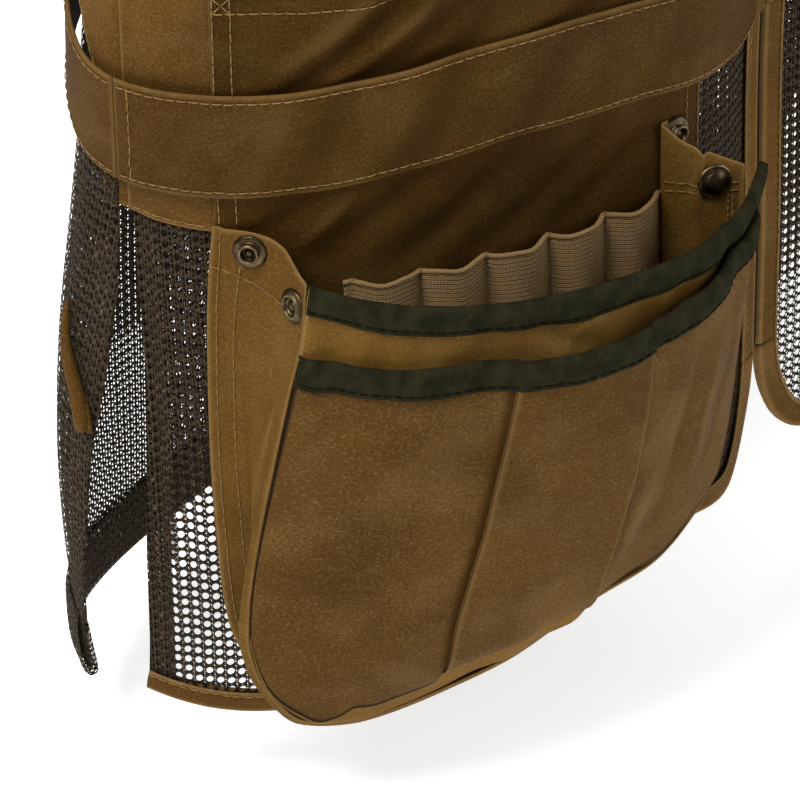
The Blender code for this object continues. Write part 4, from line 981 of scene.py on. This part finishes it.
def gusset_place(station, share, depth):
    """Places off the gusset, square to it; above zero is outside the pocket."""
    station, share, depth = np.broadcast_arrays(station, share, depth)
    along = on_gusset(station + 0.05, share) - on_gusset(station - 0.05, share)
    out = unit(np.cross(along, on_gusset(station, share + 0.02) - on_gusset(station, share - 0.02)))
    slack = sum(gusset_folds(gusset_length(station), share))
    return on_gusset(station, share) + out * (depth + slack)[..., None]


def inside_gusset(station, share, depth):
    """The same, with depth counted into the pocket."""
    return gusset_place(station, share, -depth)


length = float(along_gusset[-1])
run = lines(length, 0.0026)[:, None] * length
share = np.r_[-FLANGE_SHARE, -0.495, -0.48, -0.45, np.linspace(-0.38, -0.05, 7),
              lines(0.026, 0.0012, "start"), np.linspace(1.01, WELT_TURN, 7)][None, :]
outer, inner = gusset_folds(run, share)
on_strip = GUSSET_THICK / 2
# painted light and shade: the outer ear's folds are painted 2.5 times as strongly as the inner ear's
shells("gusset_strip", "pocket_gusset",
       lambda station, share, depth: gusset_place(station, share, depth - on_strip), station_at(run), share,
       GUSSET_THICK, LIT_GUSSET_FINISH, fold=outer * 2.5 + inner, lie=np.broadcast_arrays(share * 0.026, run))
share = np.linspace(-0.48, 0.98, 30)
sew(gusset_place, 0.85 + 0.25 * np.maximum(share, 0.0), share, on_strip)
station = np.linspace(0.06, 8.5, 140)
width = curve(station, *FLANGE.values())
for inset in (0.0036, 0.0036 + TWIN_GAUGE):
    row = np.where(width > inset, -FLANGE_SHARE * (1.0 - inset / width), (inset - width) / 0.029)
    sew(gusset_place, station, row, on_strip)
share = np.linspace(0.02, 0.98, 24)
for low in (0.0235, 0.0203):
    at = station_at(length - low + 0.0125 * share)
    sew(gusset_place, at, share, on_strip)
    sew(inside_gusset, at, share, on_strip, loose=1.6)
at = station_at(length - np.linspace(0.0140, 0.0330, 12))
for share in (0.84, 0.90):
    sew(inside_gusset, at, share, on_strip, stitch=0.0028, loose=2.5)
join_seams("gusset_seams")

# Pocket front: the pocket's outer wall, hung in a belly from seam to seam. Its seam with the gusset is
# turned, and the gusset's rim stands out beside it as a soft welt. A place on it is a share and a rise.
GUSSET_MARGIN = 0.0010
POCKET_START = 0.065
POCKET_WIDTH = 0.190
OUTER_SEAM = columns("rise arc off",
    (50, 268, 20.5), (65, 267, 20.5), (114.5, 258.8, 22.5), (166, 247, 26), (183, 242.5, 27),
    (208.5, 238, 28))
INNER_SEAM = columns("rise arc off",
    (58, 74, 23), (90, 69, 25), (130, 65, 26.5), (170, 61, 27.5), (190, 57.5, 28), (204.5, 52.5, 28))
POCKET_LOW = columns("share rise",
    (0, 65), (0.03, 56.5), (0.067, 50.5), (0.16, 40.2), (0.236, 39), (0.294, 35), (0.36, 26), (0.43, 25),
    (0.505, 19.8), (0.57, 19.2), (0.65, 15), (0.73, 11), (0.817, 7.8), (0.88, 8), (0.92, 12.5),
    (0.951, 18.8), (0.976, 26.8), (0.99, 35), (1, 48))
POCKET_TOP = columns("share rise",
    (0, 203), (0.067, 197.2), (0.16, 195.4), (0.294, 196.2), (0.505, 197.8), (0.613, 199), (0.817, 202.1),
    (0.911, 204.5), (1, 208))
BELLY = columns("above depth",
    (0, 0), (10, 6), (30, 15), (60, 21.5), (100, 25.5), (140, 26), (180, 24.5), (210, 24))
POCKET_FOLDS = columns(FOLD_COLUMNS,
    (231, 203, 236, 150, 5, -3.4), (220, 200, 208, 150, 6, 1.4), (184, 200, 196, 150, 7, -3),
    (160, 198, 160, 140, 8, 1.6), (136, 200, 124, 140, 8, -2.2), (88, 205, 78, 140, 6, -3),
    (176, 196, 150, 172, 4, -2.2), (150, 194, 166, 168, 3.6, 1.6), (108, 194, 120, 168, 4.6, -2))
# painted light: the pocket front has its own lighter copy of the twill, for the light on the strip of it that
# shows between the two tapes
LIT_MOUTH_FINISH = waxed_canvas("waxed_mouth", Base=(0.215, 0.116, 0.0235), Shade=(0.086, 0.040, 0.0066))


def on_pocket(share, rise, off=0.0):
    share, rise, off = np.broadcast_arrays(share, rise, off)
    arcs, offs = ([curve(rise, seam["rise"], seam[name]) for seam in (INNER_SEAM, OUTER_SEAM)]
                  for name in ("arc", "off"))
    belly = curve(rise - curve(share, *POCKET_LOW.values()), *BELLY.values())
    out = offs[0] + share * (offs[1] - offs[0]) + GUSSET_MARGIN
    out = out + belly * (1.0 - np.abs(2.0 * np.clip(share, 0.0, 1.0) - 1.0) ** 2.6)
    arc = arcs[0] + share * (arcs[1] - arcs[0])
    return on_body(arc, rise, out + off + folds(arc, rise, POCKET_FOLDS))


share = lines(POCKET_WIDTH, 0.0022)[:, None]
low, high = curve(share, *POCKET_LOW.values()), curve(share, *POCKET_TOP.values())
rise = low + lines(0.17, 0.0026)[None, :] * (high - low)
across = share * POCKET_WIDTH
shells("pocket_front_cloth", "pocket_front", on_pocket, share, rise, finish=LIT_MOUTH_FINISH,
       lie=np.broadcast_arrays(across, rise), fold=folds(POCKET_START + across, rise, POCKET_FOLDS))

# Patch pocket: a second layer on the pocket front, caught in the same seam. Two folds make its middle
# a box pleat that lies on top of its sides, and its lower edge is pulled up a little unevenly.
CREASES = (0.352, 0.650)
CREASE_WIDTH = 0.012                # of the pocket's width, like the creases' places
PLEAT_DEPTH = 0.0026
PATCH_INSET = 0.030
PATCH_TOP = columns("share rise", (0, 190), (0.1, 185), (0.25, 180), (0.5, 178), (1, 178))
PATCH_LOW = columns("share rise",
    (0, 70), (0.04, 59), (0.093, 52), (0.16, 44), (0.236, 41.5), (0.3, 38.5), (0.345, 37.2), (0.39, 40),
    (0.46, 39.6), (0.505, 34.6), (0.59, 33), (0.645, 32), (0.665, 24), (0.7, 22.2), (0.74, 20),
    (0.787, 17.5), (0.814, 18), (0.849, 12.4), (0.881, 10.6), (0.92, 15.6), (0.951, 21.2), (0.976, 29.2),
    (0.992, 42), (1, 54))
PATCH_FOLDS = columns(FOLD_COLUMNS,
    (104, 165, 112, 70, 4, -1.8), (90, 160, 96, 80, 3, 1.4), (78, 150, 86, 90, 2.4, -1.4),
    (240, 120, 215, 40, 14, -1.4), (226, 60, 190, 22, 8, 1.2), (160, 150, 150, 50, 16, -1.2),
    (200, 160, 236, 100, 12, 1), (118, 120, 126, 50, 6, 1.4))
# painted shadow: the patch's cloth darkens beside its rims, for the shade in the grooves of its seams
PATCH_FINISH = waxed_canvas("waxed_patch", worn=0.0, Seam=1.0, Base=(0.122, 0.061, 0.0130),
                            Shade=(0.044, 0.019, 0.0031))


def patch_low(share):
    return curve(share, *PATCH_LOW.values())


def patch_lift(share, rise):
    """How far the patch hangs off the pocket front."""
    lift = curve(rise, (0.120, 0.165), (0.0, 0.0028))
    stand = curve(rise, (0.090, 0.178), (0.0, 0.0050)) * np.exp(-((share - 0.42) / 0.22) ** 2)
    slack = folds(POCKET_START + share * POCKET_WIDTH, rise, PATCH_FOLDS)
    return 0.0006 + lift + stand + slack * np.clip((0.172 - rise) / 0.02, 0.0, 1.0)


def on_patch(share, rise, off=0.0, pleat=None):
    """Points on the patch; pleat is 0 on its sides and 1 on its middle, if it isn't told by the share."""
    share, rise, off = np.broadcast_arrays(share, rise, off)
    inset = curve(rise, (0.110, 0.180), (0.0, PATCH_INSET))
    if pleat is None:
        half = 0.5 * CREASE_WIDTH
        pleat = curve(share, (CREASES[0] - half, CREASES[0] + half), (0.0, 1.0))
        pleat = pleat * curve(share, (CREASES[1] - half, CREASES[1] + half), (1.0, 0.0))
    lift = patch_lift(share, rise) + pleat * PLEAT_DEPTH
    inside = np.minimum(np.minimum(share, 1.0 - share) * POCKET_WIDTH, rise - patch_low(share))
    lift = lift * np.clip(inside / 0.0070, 0.0, 1.0) ** 0.4
    lean = np.interp(share, (0.0, CREASES[0], CREASES[1], 1.0), (0.0, 1.0, -1.3, 0.0)) * (rise - 0.100) * 0.13
    return on_pocket(inset + (share + lean) * (1.0 - inset), rise, CANVAS_THICK + lift + off)


under = ((-0.006, 0.0), (0.001, 0.0), (0.020, 0.02), (0.019, 0.5), (0.003, 0.55), (-0.0005, 0.66),
         (-0.0012, 0.78), (-0.0006, 0.92), (0.0014, 0.99), (0.006, 1.0))
outer = lines(CREASES[0] * POCKET_WIDTH, 0.0024, "start") * (CREASES[0] - 0.012)
path = [(share, 0.0) for share in outer] + [(CREASES[0] + share, lift) for share, lift in under]
path += [(share, 1.0) for share in np.linspace(CREASES[0] + 0.016, CREASES[1] - 0.016, 24)]
path += [(CREASES[1] - share, lift) for share, lift in under[::-1]]
path += [(1.0 - share, 0.0) for share in outer[::-1] * (1.0 - CREASES[1] - 0.012) / outer[-1]]
share, level = np.array(path).T[..., None]
low, high = patch_low(share), curve(share, *PATCH_TOP.values())
rise = low + lines(0.15, 0.0026)[None, :] * (high - low)
pleat = level * curve(rise - low, (0.0, 0.030), (0.78, 1.0))
across = share * POCKET_WIDTH
# painted highlight along the pleat's folded edges, and painted shadow on the sides just outside them, both
# through the fold mask
lit_pleat_edge = sum(np.exp(-((share - edge) / 0.005) ** 2) for edge in (CREASES[0] + 0.002, CREASES[1] - 0.002))
shaded = sum(np.exp(-((share - edge) / 0.010) ** 2) for edge in (CREASES[0] - 0.004, CREASES[1] + 0.004))
fold = folds(POCKET_START + across, rise, PATCH_FOLDS)
shells("patch_cloth", "pocket_patch", lambda share, rise, depth: on_patch(share, rise, depth, pleat),
       share, rise, finish=PATCH_FINISH, lie=np.broadcast_arrays(across + 0.4 * level, rise),
       fold=fold + 0.0020 * lit_pleat_edge * (level > 0.9) - 0.0045 * shaded * (level < 0.1))

# Mouth tapes: dark green moleskin folded over the tops of the pocket front and of the patch, with a
# row of dark stitches near its lower edge. Its nap is short and dull.
TRIM_WIDTH = 0.0100
given, result = effect("moleskin", "Colour Height")
x, y = parts(given["Place"])
fuzz = speckle(given["Place"], 1300.0, 3.0, 0.7)
cloudy = speckle(given["Place"], 120.0, 3.0, 0.6)
colour = blend(step_between(cloudy, 0.3, 0.7), (0.0115, 0.0113, 0.0050), (0.0250, 0.0238, 0.0112))
feed(result["Colour"], blend(step_between(fuzz, 0.55, 0.75) * 0.5, colour, (0.062, 0.058, 0.031)))
feed(result["Height"], wave(x - y, 0.0012) * 0.35 + fuzz)
MOLESKIN_FINISH = finish_with("moleskin", "moleskin", 0.95, 0.03, 0.0006)
DARK_THREAD = mottled("dark_thread", 0.8, 0.0, 500.0, (0.0030, 0.0030, 0.0018), (0.0110, 0.0105, 0.0060))[0]

share = np.linspace(0.0, 1.0, 140)
for side in SIDES:
    for name, chart, table in (("mouth", on_pocket, POCKET_TOP), ("patch", on_patch, PATCH_TOP)):
        places = np.stack([share, curve(share, *table.values())], -1)
        down = 0.0 * places - (0.0, 1.0)
        tape(f"{name}_tape_{side}", f"{name}_binding_{side}", [(chart, places, down)],
             CANVAS_THICK + 0.0008, -0.0008, TRIM_WIDTH, MOLESKIN_FINISH, puff=0.0007, seam=0.0080)
join_seams("mouth_seams", DARK_THREAD)

# Shell loops: a band of ribbed tan elastic in each pocket, stitched down to the backing between its
# five loops. Its top edge is rolled, and lower down the band is gathered in slanting cords.
ELASTIC_THICK = 0.0014
LOOP_STITCHES = np.array((0.0860, 0.1131, 0.1394, 0.1668, 0.1938, 0.2202))
LOOP_LOW, LOOP_HIGH = 0.137, 0.197
LOOP_BULGE = 0.0072
GATHER_RISE = 0.1725
CORD_PITCH = 0.0028
BACKING_FACE = 0.0058

given, result = effect("ribbed elastic", "Colour Height")
x, y = parts(given["Place"], 0.0005, 150.0)
row = cell(y / 0.00190).absolute()
dot = step_between((cell(x / 0.00120) / 0.22) ** 2.0 + (row / 0.17) ** 2.0, 1.3, 0.5)
knit_part = y.above(GATHER_RISE - 0.0005)
knitted = step_between(row, 0.36, 0.47).most(dot * 0.85) * knit_part
wrapped = wave(y + x * 0.6, 0.0009) * (knit_part * -1.0 + 1.0)
dark = knitted.most(wrapped * 0.45)
fibre = speckle(given["Place"], 900.0)
colour = blend(fibre, (0.230, 0.140, 0.056), (0.360, 0.240, 0.115))
feed(result["Colour"], blend(dark, colour, (0.050, 0.028, 0.011)))
feed(result["Height"], fibre * 0.2 - dark)
ELASTIC_FINISH = finish_with("ribbed elastic", "ribbed_elastic", 0.85, 0.10, 0.0006)


def on_loops(arc, rise, depth=0.0):
    """The band's inner face: it bulges between the rows of stitches, and less where it is gathered."""
    arc, rise, depth = np.broadcast_arrays(arc, rise, depth)
    k = np.clip(np.searchsorted(LOOP_STITCHES, arc, side="right") - 1, 0, len(LOOP_STITCHES) - 2)
    t = np.clip((arc - LOOP_STITCHES[k]) / (LOOP_STITCHES[k + 1] - LOOP_STITCHES[k]), 0.0, 1.0)
    bulge = LOOP_BULGE * np.sin(math.pi * t ** 1.12) ** 0.9
    gathered = np.clip((GATHER_RISE - rise) / 0.003, 0.0, 1.0)
    strand = np.abs(np.sin(math.pi * (arc - 0.35 * (rise - GATHER_RISE)) / CORD_PITCH))
    sway = 0.0004 * np.sin(arc * 410.0) * np.clip((rise - 0.16) / 0.03, 0.0, 1.0)
    return on_body(arc, rise + sway, BACKING_FACE + depth + bulge + gathered * (0.0009 * strand - 0.0007))


def cord(name, points, radius, finish, sides, lay=0.0, depth=0.0):
    """A round cord along points; its surface winds in strands, a lay apart, of a given depth."""
    lengths = distances(points)[:, None]
    tangent = unit(np.gradient(points, axis=0))
    side = unit(np.cross(tangent, (0.0, 0.6, 0.8)))
    rise = np.cross(side, tangent)
    turns = np.arange(sides)[None, :] * 2 * math.pi / sides
    swell = radius + (depth * np.cos(2 * math.pi * lengths / lay + turns) if lay else 0.0)
    ring = (points[:, None] + side[:, None] * (np.cos(turns) * swell)[..., None]
            + rise[:, None] * (np.sin(turns) * swell)[..., None])
    spread = np.stack(np.broadcast_arrays(lengths, turns * radius), -1)
    return tube(name, ring, spread, np.ones(sides), finish)


arc = 0.0850 + np.linspace(0.0, 1.0, 230)[:, None] * 0.1385
rise = np.linspace(LOOP_LOW, LOOP_HIGH, 60)[None, :]
edge = on_loops(arc[:, 0], LOOP_HIGH, ELASTIC_THICK * 0.5)
along = distances(edge)
lip = between(edge, along, np.linspace(0.0, along[-1], 520))
for side, flip in SIDES.items():
    shell(f"elastic_loops_{side}", f"shell_loops_{side}", on_loops, arc, rise, ELASTIC_THICK, ELASTIC_FINISH,
          held="gathered", lie=np.broadcast_arrays(along[:, None], rise))
    cord(f"elastic_lip_{side}", lip * flip, 0.00105, ELASTIC_FINISH, 10, 0.00095, 0.00016)
for arc in LOOP_STITCHES:
    rise = np.linspace(LOOP_LOW + 0.002, LOOP_HIGH - 0.0005, 16)
    sew(on_loops, arc, rise, ELASTIC_THICK, radius=0.0002)
    end = [on_loops(arc, LOOP_HIGH + lift, ELASTIC_THICK + lift * 0.4) for lift in (-0.0006, 0.0009, 0.0021)]
    for flip in SIDES.values():
        SEWN.append((np.array(end) * flip, np.tile((0.0, -1.0, 0.0), (3, 1)), 0.00018, 3.0))
join_seams("loop_seams")

# Side straps: a tab of rolled waxed cloth on each side of the back, beside the vent. It has a short
# slit near its lower end.
STRAP = columns("rise reach radius",
    (122.5, 287.2, 2.2), (125, 287.2, 3.1), (131, 285.6, 3.2), (138, 282.4, 3), (146, 276.8, 2.7),
    (154.5, 271.2, 2.1), (164, 267.2, 1.4), (169, 265.5, 0.8))
STRAP_TAIL = columns("rise reach radius",
    (121.5, 290.2, 0.6), (123.5, 289.8, 1.3), (129, 288, 1.6), (134, 285.8, 1.2), (137, 284.2, 0.5))

for side, flip in SIDES.items():
    for name, table, lift in (("strap_tab", STRAP, 0.0012), ("strap_tail", STRAP_TAIL, 0.0010)):
        rise = np.linspace(table["rise"][-1], table["rise"][0], 48)
        radius = curve(rise, table["rise"], table["radius"])
        line = on_back(curve(rise, table["rise"], table["reach"]), rise, lift + radius)
        piece = cord(f"{name}_{side}", line * flip, radius[:, None], BINDING_FINISH, 14)
        if name == "strap_tab":
            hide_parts(f"side_strap_{side}")

# Snaps: antique brass. The studs are pressed through the outer ear and the backing, and the sockets
# with their caps through both ears. The ears' snaps are open, as in the photograph.
SNAP_LIFT = 0.0006
INNER_STUD = (0.0755, 0.2200)
SNAP_COLUMNS = "radius height"
STUD = columns(SNAP_COLUMNS,
    (0, 0), (6.6, 0), (6.8, 0.4), (6.6, 0.9), (6, 1.3), (5.2, 1.4), (4.5, 1.2), (4.2, 1.1), (4.1, 1.4),
    (4.1, 2.8), (4, 3.4), (3.7, 3.7), (3.3, 3.7), (3, 3.4), (2.8, 2.8), (2.7, 1.2), (1.7, 1), (1.6, 1.8),
    (1.3, 2.2), (0.6, 2.4), (0, 2.4))
SOCKET = columns(SNAP_COLUMNS,
    (0, 0), (6.6, 0), (6.8, 0.5), (6.6, 1.1), (6, 1.6), (5.4, 1.8), (5, 2.2), (4.6, 2.6), (4.2, 2.6),
    (3.8, 2.3), (3.6, 1.6), (3.5, 0.8), (2, 0.6), (1.7, 1.2), (1.2, 1.6), (0, 1.8))
CAP = columns(SNAP_COLUMNS,
    (0, 0), (7.2, 0), (7.4, 0.4), (7.4, 0.8), (7.1, 1.2), (6.6, 1.3), (6.2, 1.1), (5.8, 1), (4.6, 1.2),
    (4.3, 1.4), (4.1, 1.8), (3.6, 2.1), (2.6, 2.4), (1.3, 2.6), (0, 2.6))

given, result = effect("antique brass", "Colour Roughness Height", Hollow=0.0)
stain = speckle(given["Place"], 260.0, 4.0, 0.6)
colour = blend(step_between(stain, 0.35, 0.65), (0.060, 0.043, 0.024), (0.200, 0.140, 0.070))
feed(result["Colour"], blend(given["Hollow"] * 0.85, colour, (0.016, 0.012, 0.008)))
feed(result["Roughness"], stain * 0.25 + 0.28)
feed(result["Height"], speckle(given["Place"], 1500.0, 3.0, 0.6))
BRASS_FINISH = finish_with("antique brass", "antique_brass", 0.4, 0.5, 0.00012, strength=0.5, metallic=1.0,
                           on_cloth=False, Hollow="hollow")


def turned(name, node, profile, place, axis, sides=40):
    """A round metal part from its profile of radius and height, standing on its axis. Its low parts and
    the broad of a cap are dark, and its rings are worn bright."""
    axis = np.asarray(axis) / np.linalg.norm(axis)
    across = np.cross(axis, (0.0, 0.0, 1.0))
    across /= np.linalg.norm(across)
    other = np.cross(axis, across)
    radii, heights = profile.values()
    turns = np.arange(sides) * 2 * math.pi / sides
    ring = (place + (np.cos(turns)[None, :, None] * across + np.sin(turns)[None, :, None] * other)
            * radii[1:-1, None, None] + heights[1:-1, None, None] * axis)
    points = np.concatenate([[place + axis * heights[0]], ring.reshape(-1, 3), [place + axis * heights[-1]]])
    index = 1 + np.arange((len(radii) - 2) * sides).reshape(-1, sides)
    index = np.c_[index, index[:, :1]]
    faces = quads(index).tolist()
    faces += [(0, int(index[0, k + 1]), int(index[0, k])) for k in range(sides)]
    faces += [(len(points) - 1, int(index[-1, k]), int(index[-1, k + 1])) for k in range(sides)]
    if profile is CAP:
        dark = np.interp(radii, (0.0, 0.0042, 0.0062, 0.0070), (0.55, 0.70, 0.75, 0.0))
    else:
        dark = np.interp(radii, (0.0, 0.0026, 0.0034, 0.0041, 0.0048, 0.0058), (0.5, 1.0, 0.5, 0.0, 0.1, 0.8))
        dark = dark * (heights < 0.0026)
    hollow = np.r_[dark[0], np.repeat(dark[1:-1], sides), dark[-1]]
    piece = build(name, points, faces, np.zeros((len(points), 2)), {"hollow": hollow}, BRASS_FINISH)
    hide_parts(node)


for side, flip in SIDES.items():
    for name, profile, station, share in (("outer_stud", STUD, 0.35, 0.24),
                                          ("outer_socket", SOCKET, 0.80, 0.80),
                                          ("inner_socket", SOCKET, LAST_ROW - 0.55, 0.62)):
        place = gusset_place(station, share, 0.0)
        axis = gusset_place(station, share, 1.0) - place
        lift = axis * SNAP_LIFT
        turned(f"{name}_metal_{side}", f"{name}_{side}", profile, (place + lift) * flip, axis * flip)
        if profile is SOCKET:
            turned(f"{name}_dome_{side}", f"{name}_cap_{side}", CAP, (place - lift) * flip, -axis * flip)
    place = on_body(*INNER_STUD, BACKING_FACE)
    axis = on_body(*INNER_STUD, 1.0) - on_body(*INNER_STUD, 0.0)
    turned(f"inner_stud_metal_{side}", f"inner_stud_{side}", STUD, place * flip, axis * flip)

# Floor, light and camera: a plain white floor well under the hem, three soft lights, and the camera
# at the photograph's angle, aimed at the right-hand pocket.
FLOOR_DROP = 0.045                  # of the floor below the hem
AIM = Vector((-0.205, -0.090, -0.518))
AZIMUTH, ELEVATION, DISTANCE, LENS = -52.0, 34.0, 1.5, 175.5
WHITE = (1.0, 1.0, 1.0)

bpy.ops.mesh.primitive_plane_add(size=12.0, location=(0.0, 0.0, -SHOULDER_HEIGHT - FLOOR_DROP))
floor = bpy.context.object
floor.name = "floor"
FLOOR_FINISH, ends, place = mottled("white_floor", 0.9, 0.5, 3.0, (0.93, 0.93, 0.93), (0.96, 0.96, 0.96))
feed(ends["Emission Color"], WHITE)
feed(ends["Emission Strength"], 0.57)
floor.data.materials.append(FLOOR_FINISH)


def aim(thing, away):
    """Sets a thing at a distance from the aim, looking at it."""
    thing.location = AIM + away
    thing.rotation_mode = "QUATERNION"
    thing.rotation_quaternion = away.to_track_quat("Z", "Y")
    bpy.context.scene.collection.objects.link(thing)


for name, away, size, power, colour in (("key_light", (-1.00, 0.16, 1.82), 1.1, 46.0, (1.0, 0.99, 0.97)),
                                        ("fill_light", (1.25, -1.4, 0.6), 1.6, 18.0, WHITE),
                                        ("back_light", (-0.2, 1.6, 1.2), 1.8, 9.0, WHITE)):
    lamp = bpy.data.lights.new(name, "AREA")
    lamp.shape = "DISK"
    lamp.size = size
    lamp.energy = power
    lamp.color = colour
    aim(bpy.data.objects.new(name, lamp), Vector(away))

world = bpy.data.worlds.new("studio")
world.use_nodes = True
world.node_tree.nodes["Background"].inputs["Color"].default_value = (*WHITE, 1.0)
world.node_tree.nodes["Background"].inputs["Strength"].default_value = 0.30
bpy.context.scene.world = world
bpy.context.scene.view_settings.view_transform = "Standard"

turn, tilt = math.radians(AZIMUTH), math.radians(ELEVATION)
away = Vector((math.sin(turn) * math.cos(tilt), -math.cos(turn) * math.cos(tilt), math.sin(tilt)))
camera = bpy.data.objects.new("camera", bpy.data.cameras.new("camera"))
camera.data.lens = LENS
camera.data.sensor_width = 36.0
aim(camera, away * DISTANCE)
bpy.context.scene.camera = camera
